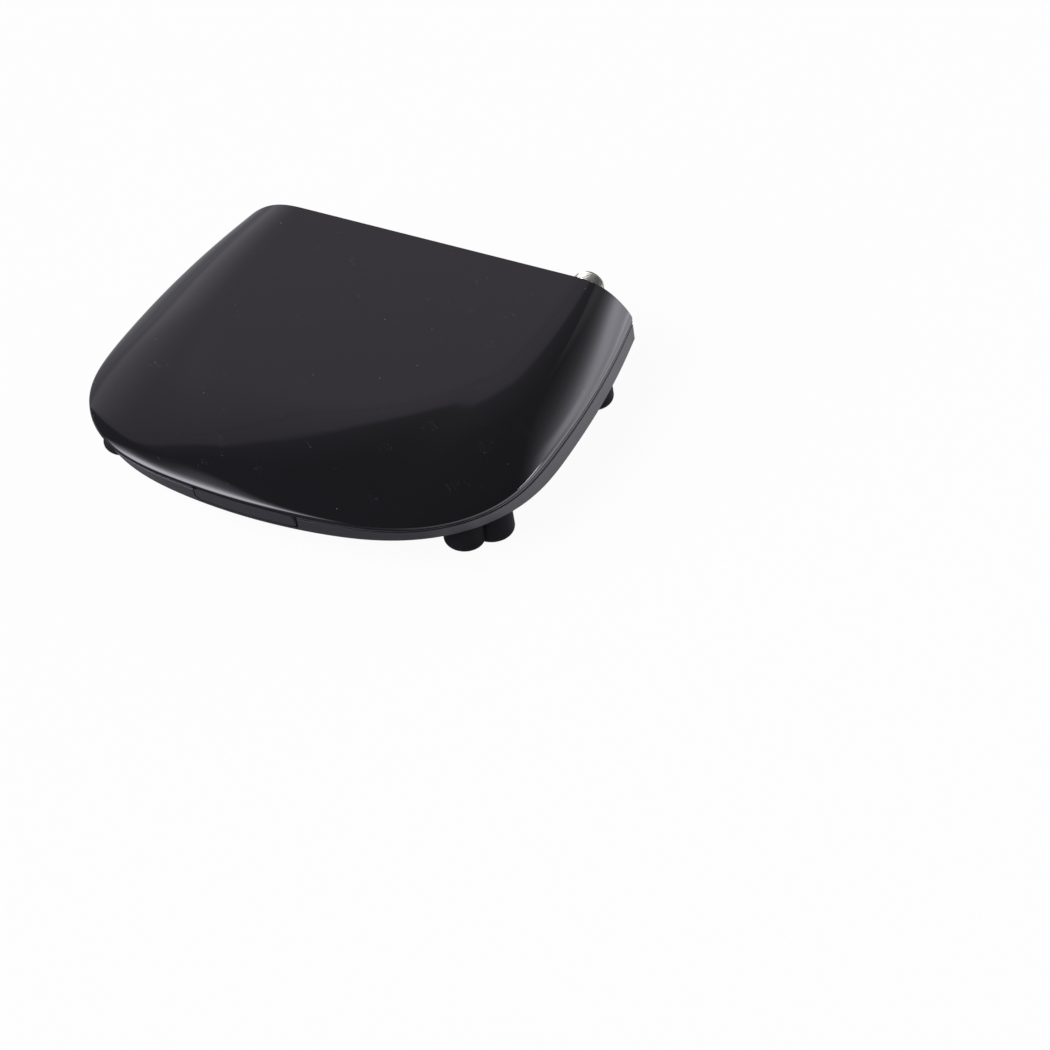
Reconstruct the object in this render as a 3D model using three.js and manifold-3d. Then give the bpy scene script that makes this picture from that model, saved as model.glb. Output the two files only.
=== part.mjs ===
// Satellite TV receiver: a small set-top box in two moulded shells, with its board, sockets and front flap.
// Millimetres, +Z up. The front looks along -Y. The origin is at the middle of the footprint, on the table.
import * as THREE from "three";
import { mergeVertices } from "three/addons/utils/BufferGeometryUtils.js";
import Module from "manifold-3d";

const wasm = await Module();
wasm.setup();

// Heights of the case, from the table up
const footHeight = 8;
const lowerHeight = 6.5;
const coverHeight = 9.5;
const skirtHeight = 1;

// Outline of the case at the seam: a straight rear edge, bulging sides, round front corners and a bowed front
const caseHalfWidth = 63.6;
const caseDepth = 115;
const sideRadius = 332;
const bulgeBack = 53.5;
const frontRadius = 169.6;
const cornerRadius = 38.2;

// The lower shell leans out at the sides and tucks in at the front, from the seam down to its bottom edge
const sideFlare = 0.9;
const frontTuck = 1.9;
const baseFrontRadius = 120;
const baseCornerRadius = 45;

// The crown is where the shoulders of the cover run out into its flat top
const sideShoulder = 23.2;
const frontShoulder = 38.8;
const crownSideRadius = 685;
const crownFrontShare = 0.98;
const crownCornerShare = 0.74;
const shoulderPower = 2.8;
const shoulderLevelShares = [0, 0.07, 0.15, 0.24, 0.34, 0.45, 0.58, 0.75, 1];

// Walls and gaps
const coverWall = 2;
const lowerWall = 1.8;
const floorThickness = 1.8;
const seamGap = 0.3;
const fitGap = 0.3;
const overrun = 1;

// How finely the round shapes are faceted
const arcSteps = { side: 4, corner: 10, front: 4 };
const roundSides = 24;
const postSides = 16;
const smallSides = 12;
const lensBands = 8;
const footRoundSteps = 3;
const flapCornerSteps = 4;

// Trim of the lower shell: a shadow groove under a thin rib, a broken bottom edge and a lip inside the cover
const ribHeight = 0.7;
const grooveHeight = 0.3;
const grooveDepth = 0.5;
const edgeBreak = 0.4;
const lipThickness = 1;
const lipHeight = 1.2;

// Rear panel and the frame that holds it
const rearLip = 0.8;
const rearLipReach = 1.2;
const panelThickness = 1.6;
const panelRibThickness = 1.2;
const panelRibHeight = 2.4;
const panelRibShare = 0.7;

// Feet: two round lobes side by side, and the case screw in the inner one
const footRadius = 6.2;
const footInnerRadius = 5.5;
const footWaist = 0.8;
const footRound = 2;
const lobeAcross = 4.4;
const lobeAlong = 6.9;
const rearFootInset = 7.7;
const rearFootBack = 20.5;
const frontFootInset = 9.1;
const frontFootBehind = 31.8;
const plugRadius = 2.2;
const plugHeight = 1.4;

// Screws
const caseScrewRadius = 1.5;
const caseScrewHeadRadius = 2.7;
const caseScrewHeadHeight = 1.6;
const caseScrewSink = 2.4;
const caseScrewBite = 2.7;
const caseBossRadius = 3.4;
const boardScrewRadius = 1.2;
const boardScrewHeadRadius = 2.4;
const boardScrewHeadHeight = 1.3;
const boardScrewBite = 2.8;
const driveWidth = 0.7;
const driveDepth = 0.7;

// Main board
const boardThickness = 1.6;
const boardStandoff = 1.8;
const boardStandoffRadius = 3;
const boardSideInset = 7;
const boardRearGap = 5.6;
const boardFrontGap = 11;
const boardChamferAcross = 26;
const boardChamferBack = 40;
const boardHoleInset = 5;
const boardRearHoleBack = 26;
const boardFrontHoleBack = 15;

// Aerial socket: a threaded barrel on a die-cast block
const aerialInset = 21.2;
const aerialHeight = 15.1;
const aerialReach = 10.4;
const threadRadius = 4.75;
const threadRoot = 4.2;
const threadPitch = 0.794;
const threadRelief = 1.6;
const barrelBore = 3.6;
const aerialContactRadius = 0.5;
const aerialContactSink = 1.2;
const aerialBlock = { width: 12, height: 9, length: 5.2 };
const aerialFlange = { radius: 4.9, thickness: 1.7 };

// Round and square sockets along the rear: the power jack near one side, the others between it and the aerial
const socketHeight = 15.8;
const powerInset = 23.1;
const socketShares = { infrared: 0.15, av: 0.31, hdmi: 0.53, coax: 0.785 };
const hdmi = { width: 15, height: 5.8, length: 11.5, wall: 0.4, tongue: 1, reach: 0.6, tongueBack: 1.2 };
const hdmiBlockShare = 0.33;
const coax = { body: 10, length: 9, ring: 4.15, wall: 0.6, insulator: 3.4, bore: 1.65, reach: 4 };
const av = { width: 6.4, height: 5.4, length: 12, collar: 2.9, bore: 1.8, reach: 0.4 };
const dc = { width: 9, height: 8.6, length: 12, bore: 3.15, pin: 1.05, reach: 0.4, depth: 9 };

// Tuner shield, chips and other parts of the board, placed as shares of the board's half width and depth
const tuner = {
  width: 30,
  depth: 26,
  height: 5,
  wall: 0.5,
  lid: 0.4,
  skirt: 1.6,
  acrossShare: 0.56,
  backShare: 0.3,
};
const mainChip = { width: 17, depth: 17, height: 1.4, acrossShare: -0.1, backShare: 0.52 };
const heatsink = { width: 18, depth: 18, base: 1.2, fin: 1.1, height: 4.4, fins: 6, pad: 0.5 };
const memoryChip = { width: 12.5, depth: 8, height: 1.1, acrossShare: 0.26, backShare: 0.6 };
const flashChip = { width: 5.3, depth: 5.3, height: 1.6, acrossShare: -0.4, backShare: 0.56 };
const powerChip = { width: 6, depth: 5, height: 1.5, acrossShare: -0.72, backShare: 0.38 };
const crystal = { width: 11, depth: 4.6, height: 3.4, acrossShare: -0.1, backShare: 0.29 };
const inductor = { width: 7, depth: 7, height: 3.6, baseShare: 0.25 };
const inductorShares = [[-0.52, 0.34], [-0.86, 0.56]];
const capacitor = { radius: 2.5, height: 5.4, groove: 0.25, ring: 0.5 };
const capacitorShares = [[-0.78, 0.24], [-0.64, 0.24], [-0.58, 0.6], [0.06, 0.36]];

// Front flap, hinged at its right end, and what is behind it
const flapFrom = -16;
const flapTo = 14;
const flapHeight = 4.4;
const flapThickness = 1.4;
const flapCornerRadius = 1.6;
const flapGapAbove = 0.6;
const hingeAcross = 11.3;
const hingeSink = 2.9;
const knuckleRadius = 1;
const hingePinRadius = 0.55;
const hingePinReach = 0.6;
const hingePinGap = 0.1;
const hingeEarWall = 0.4;
const hingeEarHeight = 0.85;
const hingeEarLength = 4.5;
const nailWidth = 1;
const nailDepth = 0.6;
const hingeEarGapShare = 1.5;
const stopWidth = 1.4;
const stopThickness = 1;
const usb = { across: -3, width: 13.1, height: 5.7, length: 14, wall: 0.4, floor: 1, back: 5.2, tab: 1.6 };
const usbTongueSize = { thickness: 1.8, back: 1.5, blockShare: 0.25 };
const eye = { radius: 1.6, width: 4.4, thickness: 2.2, height: 3.4, across: -12.6, back: 1 };
const lensSinkShare = 0.33;
const light = { width: 1.6, height: 0.6, flange: 0.7, gapShare: 0.33, across: 16.4 };
const lamp = { width: 2.4, depth: 1.4, height: 1.2 };

// Vents through the floor
const ventWidth = 2;
const ventLength = 15;
const ventPitch = 4.4;
const ventRows = 7;
const ventShares = [0.3, 0.62];

const seamHeight = footHeight + lowerHeight;
const topHeight = seamHeight + coverHeight;
const floorTop = footHeight + floorThickness;
const boardBottom = floorTop + boardStandoff;
const boardTop = boardBottom + boardThickness;
const panelFront = -rearLip - fitGap - panelThickness;
const aerialAcross = caseHalfWidth - aerialInset;
const dcAcross = powerInset - caseHalfWidth;
const socketSpan = aerialAcross - dcAcross;
const irAcross = dcAcross + socketShares.infrared * socketSpan;
const avAcross = dcAcross + socketShares.av * socketSpan;
const hdmiAcross = dcAcross + socketShares.hdmi * socketSpan;
const coaxAcross = dcAcross + socketShares.coax * socketSpan;
const boardHalfWidth = caseHalfWidth - boardSideInset;
const boardRear = -boardRearGap;
const boardFront = boardFrontGap - caseDepth;
const boardDepth = boardRear - boardFront;

const seamOutline = {
  halfWidth: caseHalfWidth,
  sideRadius,
  bulgeBack,
  depth: caseDepth,
  frontRadius,
  cornerRadius,
};
const baseOutline = {
  halfWidth: caseHalfWidth + sideFlare,
  sideRadius,
  bulgeBack,
  depth: caseDepth - frontTuck,
  frontRadius: baseFrontRadius,
  cornerRadius: baseCornerRadius,
};
const crownHalfWidth = caseHalfWidth - sideShoulder;
const crownOutline = {
  halfWidth: crownHalfWidth,
  sideRadius: crownSideRadius,
  bulgeBack: 0,
  depth: caseDepth - frontShoulder,
  frontRadius: crownHalfWidth * crownFrontShare,
  cornerRadius: crownHalfWidth * crownCornerShare,
};

// A closed three.js geometry as a solid that can be joined and cut.
function solid(geometry) {
  const bare = geometry.clone();
  bare.deleteAttribute("normal");
  bare.deleteAttribute("uv");
  const merged = mergeVertices(bare);
  return new wasm.Manifold(
    new wasm.Mesh({
      numProp: 3,
      vertProperties: new Float32Array(merged.attributes.position.array),
      triVerts: new Uint32Array(merged.index.array),
    }),
  );
}

function geometryOf(body) {
  const mesh = body.getMesh();
  const geometry = new THREE.BufferGeometry();
  geometry.setAttribute("position", new THREE.BufferAttribute(new Float32Array(mesh.vertProperties), 3));
  geometry.setIndex(new THREE.BufferAttribute(new Uint32Array(mesh.triVerts), 1));
  return geometry;
}

const join = (first, ...others) => others.reduce((sum, other) => sum.add(other), first);
const cut = (first, ...tools) => tools.reduce((rest, tool) => rest.subtract(tool), first);

// A block between two corners.
function block([x0, y0, z0], [x1, y1, z1]) {
  const geometry = new THREE.BoxGeometry(x1 - x0, y1 - y0, z1 - z0);
  return solid(geometry.translate((x0 + x1) / 2, (y0 + y1) / 2, (z0 + z1) / 2));
}

// A profile of [radius, height] pairs turned about a vertical axis.
function turned(profile, [x, y, z], sides = roundSides) {
  const points = profile.map(([radius, height]) => new THREE.Vector2(radius, height));
  return solid(new THREE.LatheGeometry(points, sides).rotateX(Math.PI / 2).translate(x, y, z));
}

// The same profile turned about an axis that points out of the rear, along +Y.
function turnedOut(profile, [x, y, z], sides = roundSides) {
  const points = profile.map(([radius, height]) => new THREE.Vector2(radius, height));
  return solid(new THREE.LatheGeometry(points, sides).translate(x, y, z));
}

const disc = (radius, from, to) => [
  [0, from],
  [radius, from],
  [radius, to],
  [0, to],
];
const post = (radius, [x, y], from, to, sides = postSides) =>
  turned(disc(radius, from, to), [x, y, 0], sides);
const plugOut = (radius, [x, z], from, to, sides = roundSides) =>
  turnedOut(disc(radius, from, to), [x, 0, z], sides);

// Half of an outline, from the rear edge to the middle of the front: three arcs that meet smoothly.
function halfOutline(outline, rear) {
  const side = new THREE.Vector2(outline.halfWidth - outline.sideRadius, -outline.bulgeBack);
  const front = new THREE.Vector2(0, outline.frontRadius - outline.depth);
  const toSide = outline.sideRadius - outline.cornerRadius;
  const toFront = outline.frontRadius - outline.cornerRadius;
  const between = front.clone().sub(side);
  const apart = between.length();
  const along = (toSide ** 2 - toFront ** 2 + apart ** 2) / (2 * apart);
  const off = Math.sqrt(Math.max(toSide ** 2 - along ** 2, 0));
  between.normalize();
  const sideways = new THREE.Vector2(between.y, -between.x);
  const centre = sideways.multiplyScalar(off).addScaledVector(between, along).add(side);
  const start = Math.asin((rear - side.y) / outline.sideRadius);
  const sideEnd = Math.atan2(centre.y - side.y, centre.x - side.x);
  const cornerEnd = Math.atan2(centre.y - front.y, centre.x - front.x);
  const arc = (at, radius, from, to, steps) =>
    new THREE.EllipseCurve(at.x, at.y, radius, radius, from, to, true).getPoints(steps);
  return [
    ...arc(side, outline.sideRadius, start, sideEnd, arcSteps.side),
    ...arc(centre, outline.cornerRadius, sideEnd, cornerEnd, arcSteps.corner).slice(1),
    ...arc(front, outline.frontRadius, cornerEnd, -Math.PI / 2, arcSteps.front).slice(1),
  ];
}

// The whole outline, counter-clockwise from the rear left round the front to the rear right.
function wholeOutline(outline, rear = 0) {
  const right = halfOutline(outline, rear);
  const left = right.slice(0, -1).map(({ x, y }) => new THREE.Vector2(-x, y));
  return [...left, ...right.reverse()];
}

const inset = (outline, by) => ({
  halfWidth: outline.halfWidth - by,
  sideRadius: outline.sideRadius - by,
  bulgeBack: outline.bulgeBack,
  depth: outline.depth - by,
  frontRadius: outline.frontRadius - by,
  cornerRadius: outline.cornerRadius - by,
});

const ringBetween = (lower, upper, share, height) =>
  lower.map((point, i) => {
    const mixed = point.clone().lerp(upper[i], share);
    return new THREE.Vector3(mixed.x, mixed.y, height);
  });
const ringOf = (points, height) => ringBetween(points, points, 0, height);

// A solid skinned over rings with the same number of points, from the lowest to the highest.
function skinned(rings) {
  const count = rings[0].length;
  const positions = rings.flat().flatMap(({ x, y, z }) => [x, y, z]);
  const index = [];
  for (let level = 0; level + 1 < rings.length; level++) {
    for (let i = 0; i < count; i++) {
      const here = level * count + i;
      const next = level * count + ((i + 1) % count);
      index.push(here, next, next + count, here, next + count, here + count);
    }
  }
  const flat = (ring) => ring.map(({ x, y }) => new THREE.Vector2(x, y));
  const cap = (ring) => THREE.ShapeUtils.triangulateShape(flat(ring), []);
  const last = (rings.length - 1) * count;
  cap(rings[0]).forEach(([a, b, c]) => index.push(a, c, b));
  cap(rings[rings.length - 1]).forEach(([a, b, c]) => index.push(last + a, last + b, last + c));
  const geometry = new THREE.BufferGeometry();
  geometry.setAttribute("position", new THREE.Float32BufferAttribute(positions, 3));
  geometry.setIndex(index);
  return solid(geometry);
}

// The dome of the cover, or its hollow when it is set in by a wall and starts further forward.
function dome(by, rear, bottom) {
  const seam = wholeOutline(inset(seamOutline, by), rear);
  const crown = wholeOutline(inset(crownOutline, by), rear);
  const shoulderHeight = coverHeight - skirtHeight;
  const rings = [ringOf(seam, bottom)];
  for (const share of shoulderLevelShares) {
    const drop = shoulderHeight * (1 - share) ** shoulderPower;
    rings.push(ringBetween(seam, crown, share, topHeight - by - drop));
  }
  return skinned(rings);
}

// The tray of the lower shell between two heights, set in by a wall.
function tray(by, rear, bottom, top) {
  const base = wholeOutline(inset(baseOutline, by), rear);
  const seam = wholeOutline(inset(seamOutline, by), rear);
  return skinned([ringOf(base, bottom), ringOf(seam, top)]);
}

// Foot places: the outer lobe and, further in along the case's edge, the lobe with the case screw
const feet = {
  rear_right: { x: 1, outer: [caseHalfWidth - rearFootInset, -rearFootBack], along: 1 },
  rear_left: { x: -1, outer: [caseHalfWidth - rearFootInset, -rearFootBack], along: 1 },
  front_right: { x: 1, outer: [caseHalfWidth - frontFootInset, frontFootBehind - caseDepth], along: -1 },
  front_left: { x: -1, outer: [caseHalfWidth - frontFootInset, frontFootBehind - caseDepth], along: -1 },
};
for (const foot of Object.values(feet)) {
  const [across, back] = foot.outer;
  foot.inner = [foot.x * (across - lobeAcross), back + foot.along * lobeAlong];
  foot.outer = [foot.x * across, back];
}

const boardHoles = [
  [boardHalfWidth - boardHoleInset, boardRear - boardRearHoleBack],
  [boardHoleInset - boardHalfWidth, boardRear - boardRearHoleBack],
  [boardHalfWidth - boardChamferAcross, boardFront + boardFrontHoleBack],
  [boardChamferAcross - boardHalfWidth, boardFront + boardFrontHoleBack],
];
const onBoard = ([across, back]) => [across * boardHalfWidth, boardRear - back * boardDepth];

// Front flap: it fills a window of the lower shell and swings about an upright axis at its right end
const sagAt = (x) => frontRadius - Math.sqrt(frontRadius ** 2 - x ** 2);
const leanAt = (height) => frontTuck * (1 - (height - footHeight) / lowerHeight);
const faceAt = (x, height) => sagAt(x) + leanAt(height) - caseDepth;
const flapTop = seamHeight - flapGapAbove;
const flapBottom = flapTop - flapHeight;
const hinge = [hingeAcross, hingeSink - caseDepth];
const flapSweep = hinge[1] - faceAt(hingeAcross, flapTop);
const earTop = seamHeight - seamGap;
const earBottom = earTop - hingeEarHeight;
const usbMouth = usb.back - caseDepth;
const usbLow = footHeight + usb.floor;

function topCover() {
  const shell = cut(
    dome(0, 0, seamHeight),
    dome(coverWall, -rearLip, floorTop),
    rearOpening(),
  );
  const posts = Object.values(feet).map(({ inner }) => {
    const outside = post(caseBossRadius, inner, seamHeight, topHeight);
    return outside.intersect(dome(coverWall / 2, -rearLip, floorTop));
  });
  const holes = Object.values(feet).map(({ inner }) =>
    post(caseScrewRadius + fitGap, inner, seamHeight - overrun, caseScrewTop + fitGap),
  );
  const ribBottom = topHeight - coverWall - panelRibHeight;
  const ribs = panelRibs.map((gap) => panelRib(gap, ribBottom, topHeight - overrun));
  return cut(join(shell, ...posts, ...ribs), ...holes);
}

// The rear opening that both shells share: a lip is left all round the panel.
function rearOpening() {
  const through = block([-caseHalfWidth, -rearLip - overrun, 0], [caseHalfWidth, overrun, topHeight]);
  return dome(coverWall + rearLipReach, overrun, floorTop + rearLipReach).intersect(through);
}

// Short ribs between the sockets, in front of the rear panel: the panel stands between them and the lip.
const panelRibs = [
  [coaxAcross + coax.body / 2, aerialAcross - aerialBlock.width / 2],
  [hdmiAcross + hdmi.width / 2, coaxAcross - coax.body / 2],
  [irAcross + av.width / 2, avAcross - av.width / 2],
];
function panelRib([left, right], from, to) {
  const back = panelFront - fitGap;
  const middle = (left + right) / 2;
  const half = (panelRibShare * (right - left)) / 2;
  return block([middle - half, back - panelRibThickness, from], [middle + half, back, to]);
}

const caseScrewSeat = caseScrewSink + caseScrewHeadHeight;
const caseScrewTop = seamHeight + caseScrewBite;

function bottomShell() {
  const base = wholeOutline(baseOutline);
  const seam = wholeOutline(seamOutline);
  const level = (height, by) => {
    const share = (height - footHeight) / lowerHeight;
    const lower = wholeOutline(inset(baseOutline, by));
    const upper = wholeOutline(inset(seamOutline, by));
    return ringBetween(lower, upper, share, height);
  };
  const top = seamHeight - seamGap;
  const ribBottom = top - ribHeight;
  const grooveBottom = ribBottom - grooveHeight;
  const outside = skinned([
    ringBetween(wholeOutline(inset(baseOutline, edgeBreak)), base, 0, footHeight),
    level(footHeight + edgeBreak, 0),
    level(grooveBottom - grooveHeight, 0),
    level(grooveBottom, grooveDepth),
    level(ribBottom, grooveDepth),
    level(ribBottom + grooveHeight / 2, 0),
    ringBetween(base, seam, 1, top),
  ]);
  const hollow = tray(lowerWall, -rearLip, floorTop, seamHeight + overrun);
  const rim = skinned([
    ringOf(wholeOutline(inset(seamOutline, lowerWall / 2), panelFront - fitGap), seamHeight - lipHeight),
    ringOf(wholeOutline(inset(seamOutline, lowerWall / 2), panelFront - fitGap), top),
  ]);
  const lipBand = block(
    [-caseHalfWidth, -caseDepth, seamHeight - lipHeight],
    [caseHalfWidth, 0, seamHeight + lipHeight],
  );
  const lipOutside = join(rim, dome(coverWall + fitGap, panelFront - fitGap, floorTop).intersect(lipBand));
  const lip = cut(
    lipOutside,
    dome(coverWall + fitGap + lipThickness, overrun, floorTop),
    ...Object.values(feet).map(({ inner }) => post(
      caseBossRadius + fitGap,
      inner,
      seamHeight - fitGap,
      topHeight,
    )),
  );
  let shell = join(cut(outside, hollow, rearOpening()), lip);

  for (const { inner } of Object.values(feet)) {
    shell = shell.add(post(caseBossRadius, inner, footHeight, seamHeight - fitGap));
  }
  for (const place of boardHoles) shell = shell.add(post(
    boardStandoffRadius,
    place,
    footHeight,
    boardBottom,
  ));
  for (const gap of panelRibs) shell = shell.add(panelRib(gap, footHeight, floorTop + panelRibHeight));
  for (const { inner, outer } of Object.values(feet)) {
    shell = cut(
      shell,
      post(caseScrewRadius + fitGap, inner, 0, topHeight),
      post(plugRadius + fitGap, outer, 0, footHeight + plugHeight + fitGap),
    );
  }
  for (const place of boardHoles) shell = cut(shell, post(
    boardScrewRadius + fitGap,
    place,
    boardBottom - boardScrewBite,
    topHeight,
  ));
  for (const [x, y] of ventPlaces()) {
    shell = cut(shell, block(
      [x - ventWidth / 2, y - ventLength / 2, 0],
      [x + ventWidth / 2, y + ventLength / 2, floorTop + overrun],
    ));
  }
  const aerial = [aerialAcross, aerialHeight];
  const aerialHole = plugOut(threadRadius + fitGap, aerial, -rearLip - overrun, overrun);
  const usbPocket = block(
    [usb.across - usb.width / 2 - fitGap, usbMouth - fitGap, usbLow],
    [usb.across + usb.width / 2 + fitGap, usbMouth + usb.length + fitGap, usbLow + usb.height + fitGap],
  );
  const withEar = join(cut(shell, flapWindow()), hingeEar(), flapStop());
  return cut(withEar, aerialHole, hingeHole(), lightHole(), usbPocket);
}

function ventPlaces() {
  const places = [];
  for (const share of ventShares) {
    for (let row = 0; row < ventRows; row++) {
      places.push([(row - (ventRows - 1) / 2) * ventPitch, -share * caseDepth]);
    }
  }
  return places;
}

// The front view of the flap, with round lower corners, grown by a gap for its window.
function flapShape(grow) {
  const left = flapFrom + fitGap - grow;
  const right = flapTo - fitGap + grow;
  const radius = flapCornerRadius + grow;
  const low = flapBottom - grow;
  const shape = new THREE.Shape();
  shape.moveTo(left, flapTop + grow);
  shape.lineTo(left, low + radius);
  shape.absarc(left + radius, low + radius, radius, Math.PI, 1.5 * Math.PI, false);
  shape.lineTo(right - radius, low);
  shape.absarc(right - radius, low + radius, radius, 1.5 * Math.PI, 2 * Math.PI, false);
  shape.lineTo(right, flapTop + grow);
  return shape;
}

// A front view pushed through the front wall, from ahead of the case to a little behind the wall.
function throughFront(shape, reach) {
  const settings = { depth: reach, bevelEnabled: false, curveSegments: flapCornerSteps };
  const geometry = new THREE.ExtrudeGeometry(shape, settings);
  return solid(geometry.rotateX(Math.PI / 2).translate(0, reach - overrun - caseDepth, 0));
}

const frontReach = overrun + lowerWall + frontTuck + lipThickness + coverWall;

const flapBack = () => faceAt(flapFrom, footHeight) + flapThickness + fitGap;

// The flap's window runs up into the seam, and has a round pocket for the end that swings inwards.
function flapWindow() {
  const above = block(
    [flapFrom, -caseDepth - overrun, flapTop],
    [flapTo, flapBack(), seamHeight + overrun],
  );
  const pocket = post(flapSweep + fitGap, hinge, flapBottom - fitGap, earTop);
  return join(throughFront(flapShape(fitGap), frontReach), above, pocket);
}

// The ear over the flap's upper pin grows forward from the lip inside the cover.
function hingeEar() {
  const radius = hingePinRadius + hingePinGap + hingeEarWall;
  const [x, y] = hinge;
  const arm = block(
    [x - radius, y, earBottom],
    [x + hingePinGap, y + hingeEarLength, seamHeight + lipHeight],
  );
  return join(post(
    radius,
    hinge,
    earBottom,
    earTop,
  ), arm.intersect(dome(coverWall + fitGap, 0, footHeight)));
}

const hingeHole = () =>
  post(hingePinRadius + hingePinGap, hinge, flapBottom - hingePinReach - fitGap, earTop + overrun / 2);

// A post behind the free end of the flap stops it when it closes.
function flapStop() {
  return block(
    [flapFrom - overrun, flapBack(), footHeight],
    [flapFrom + stopWidth, flapBack() + stopThickness, flapTop - nailDepth],
  );
}

const lightMiddle = () => flapTop - light.height;

function lightHole() {
  const z = lightMiddle();
  return block(
    [light.across - light.width / 2, -caseDepth - overrun, z - light.height / 2],
    [light.across + light.width / 2, frontReach - caseDepth, z + light.height / 2],
  );
}

function usbFlap() {
  const [x, y] = hinge;
  const plate = cut(tray(0, 0, footHeight, seamHeight), tray(flapThickness, overrun, footHeight, seamHeight));
  const face = plate.intersect(throughFront(flapShape(0), frontReach));
  const beyond = block([x, -caseDepth - overrun, 0], [caseHalfWidth, y + overrun, topHeight]);
  const outside = cut(beyond, post(flapSweep, hinge, -overrun, topHeight + overrun));
  const ear = post(
    hingePinRadius + hingeEarWall + hingeEarGapShare * fitGap,
    hinge,
    earBottom - fitGap,
    topHeight,
  );
  const nail = block(
    [flapFrom, -caseDepth - overrun, flapTop - nailDepth],
    [flapFrom + fitGap + nailWidth, 0, topHeight],
  );
  const knuckle = post(knuckleRadius, hinge, flapBottom, earBottom - fitGap);
  const pin = post(hingePinRadius, hinge, flapBottom - hingePinReach, earBottom + hingePinReach);
  return join(cut(face, outside, ear, nail), knuckle, pin);
}

function rearPanel() {
  const slab = block(
    [-2 * caseHalfWidth, panelFront, floorTop],
    [2 * caseHalfWidth, panelFront + panelThickness, topHeight],
  );
  const plate = dome(coverWall + fitGap, overrun, floorTop).intersect(slab);
  const from = panelFront - overrun;
  const to = overrun;
  const hdmiBottom = boardTop - fitGap;
  return cut(
    plate,
    plugOut(threadRadius + fitGap, [aerialAcross, aerialHeight], from, to),
    plugOut(coax.ring + fitGap, [coaxAcross, socketHeight], from, to),
    plugOut(av.collar + fitGap, [avAcross, socketHeight], from, to),
    plugOut(av.collar + fitGap, [irAcross, socketHeight], from, to),
    block(
      [dcAcross - dc.width / 2 - fitGap, from, socketHeight - dc.height / 2 - fitGap],
      [dcAcross + dc.width / 2 + fitGap, to, socketHeight + dc.height / 2 + fitGap],
    ),
    block(
      [hdmiAcross - hdmi.width / 2 - fitGap, from, hdmiBottom],
      [hdmiAcross + hdmi.width / 2 + fitGap, to, boardTop + hdmi.height + fitGap],
    ),
  );
}

// The main board, with its front corners cut off and a notch for each socket that sinks into it
function mainBoard() {
  const outline = new THREE.Shape([
    new THREE.Vector2(-boardHalfWidth, boardRear),
    new THREE.Vector2(-boardHalfWidth, boardFront + boardChamferBack),
    new THREE.Vector2(boardChamferAcross - boardHalfWidth - boardHoleInset, boardFront),
    new THREE.Vector2(boardHalfWidth - boardChamferAcross + boardHoleInset, boardFront),
    new THREE.Vector2(boardHalfWidth, boardFront + boardChamferBack),
    new THREE.Vector2(boardHalfWidth, boardRear),
  ]);
  const slab = new THREE.ExtrudeGeometry(outline, { depth: boardThickness, bevelEnabled: false });
  const board = solid(slab.translate(0, 0, boardBottom));
  const notch = (across, width, length) => {
    const half = width / 2 + fitGap;
    return block([across - half, panelFront - length - fitGap, 0], [across + half, 0, topHeight]);
  };
  const usbNotch = block(
    [usb.across - usb.width / 2 - fitGap, -caseDepth, 0],
    [usb.across + usb.width / 2 + fitGap, usbMouth + usb.length + fitGap, topHeight],
  );
  return cut(
    board,
    notch(aerialAcross, aerialBlock.width, aerialBlock.length + aerialFlange.thickness + 2 * fitGap),
    notch(coaxAcross, coax.body, coax.length),
    notch(dcAcross, dc.width, dc.length),
    usbNotch,
    ...boardHoles.map((place) => post(boardScrewRadius + fitGap, place, 0, topHeight)),
    ...Object.values(feet).map(({ inner }) => post(caseBossRadius + fitGap, inner, 0, topHeight)),
  );
}

// Feet and screws
function foot({ inner, outer }) {
  const lobe = (radius, place) => {
    const rounding = Array.from({ length: footRoundSteps + 1 }, (_, i) => {
      const angle = ((i / footRoundSteps) * Math.PI) / 2;
      return [radius - footRound * (1 - Math.sin(angle)), footRound * (1 - Math.cos(angle))];
    });
    return turned([[0, 0], ...rounding, [radius - footWaist, footHeight], [0, footHeight]], [...place, 0]);
  };
  return cut(
    join(lobe(footRadius, outer), lobe(footInnerRadius, inner), post(
      plugRadius,
      outer,
      footHeight - overrun,
      footHeight + plugHeight,
    )),
    post(caseScrewHeadRadius + fitGap, inner, -overrun, caseScrewSeat),
    post(caseScrewRadius + fitGap, inner, -overrun, footHeight + overrun),
  );
}

// A pan-head screw with a cross drive, which points up from its head, or down from it.
function screw([x, y], seat, way, { shank, head, headHeight, length }) {
  const profile = [
    [0, -headHeight],
    [head * Math.SQRT1_2, -headHeight],
    [head, -headHeight / 2],
    [head, 0],
    [shank, 0],
    [shank, length - shank],
    [0, length],
  ];
  const pointing = way > 0 ? profile : profile.map(([r, h]) => [r, -h]).reverse();
  const body = turned(pointing, [x, y, seat], smallSides);
  const end = seat - way * headHeight;
  const low = Math.min(end - way * overrun, end + way * driveDepth);
  const high = Math.max(end - way * overrun, end + way * driveDepth);
  const arm = head * Math.SQRT1_2;
  const slot = (halfX, halfY) => block([x - halfX, y - halfY, low], [x + halfX, y + halfY, high]);
  return cut(body, slot(arm, driveWidth / 2), slot(driveWidth / 2, arm));
}

const caseScrew = (place) =>
  screw(place, caseScrewSeat, 1, {
    shank: caseScrewRadius,
    head: caseScrewHeadRadius,
    headHeight: caseScrewHeadHeight,
    length: caseScrewTop - caseScrewSeat,
  });
const boardScrew = (place) =>
  screw(place, boardTop, -1, {
    shank: boardScrewRadius,
    head: boardScrewHeadRadius,
    headHeight: boardScrewHeadHeight,
    length: boardThickness + boardScrewBite - fitGap,
  });

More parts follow.
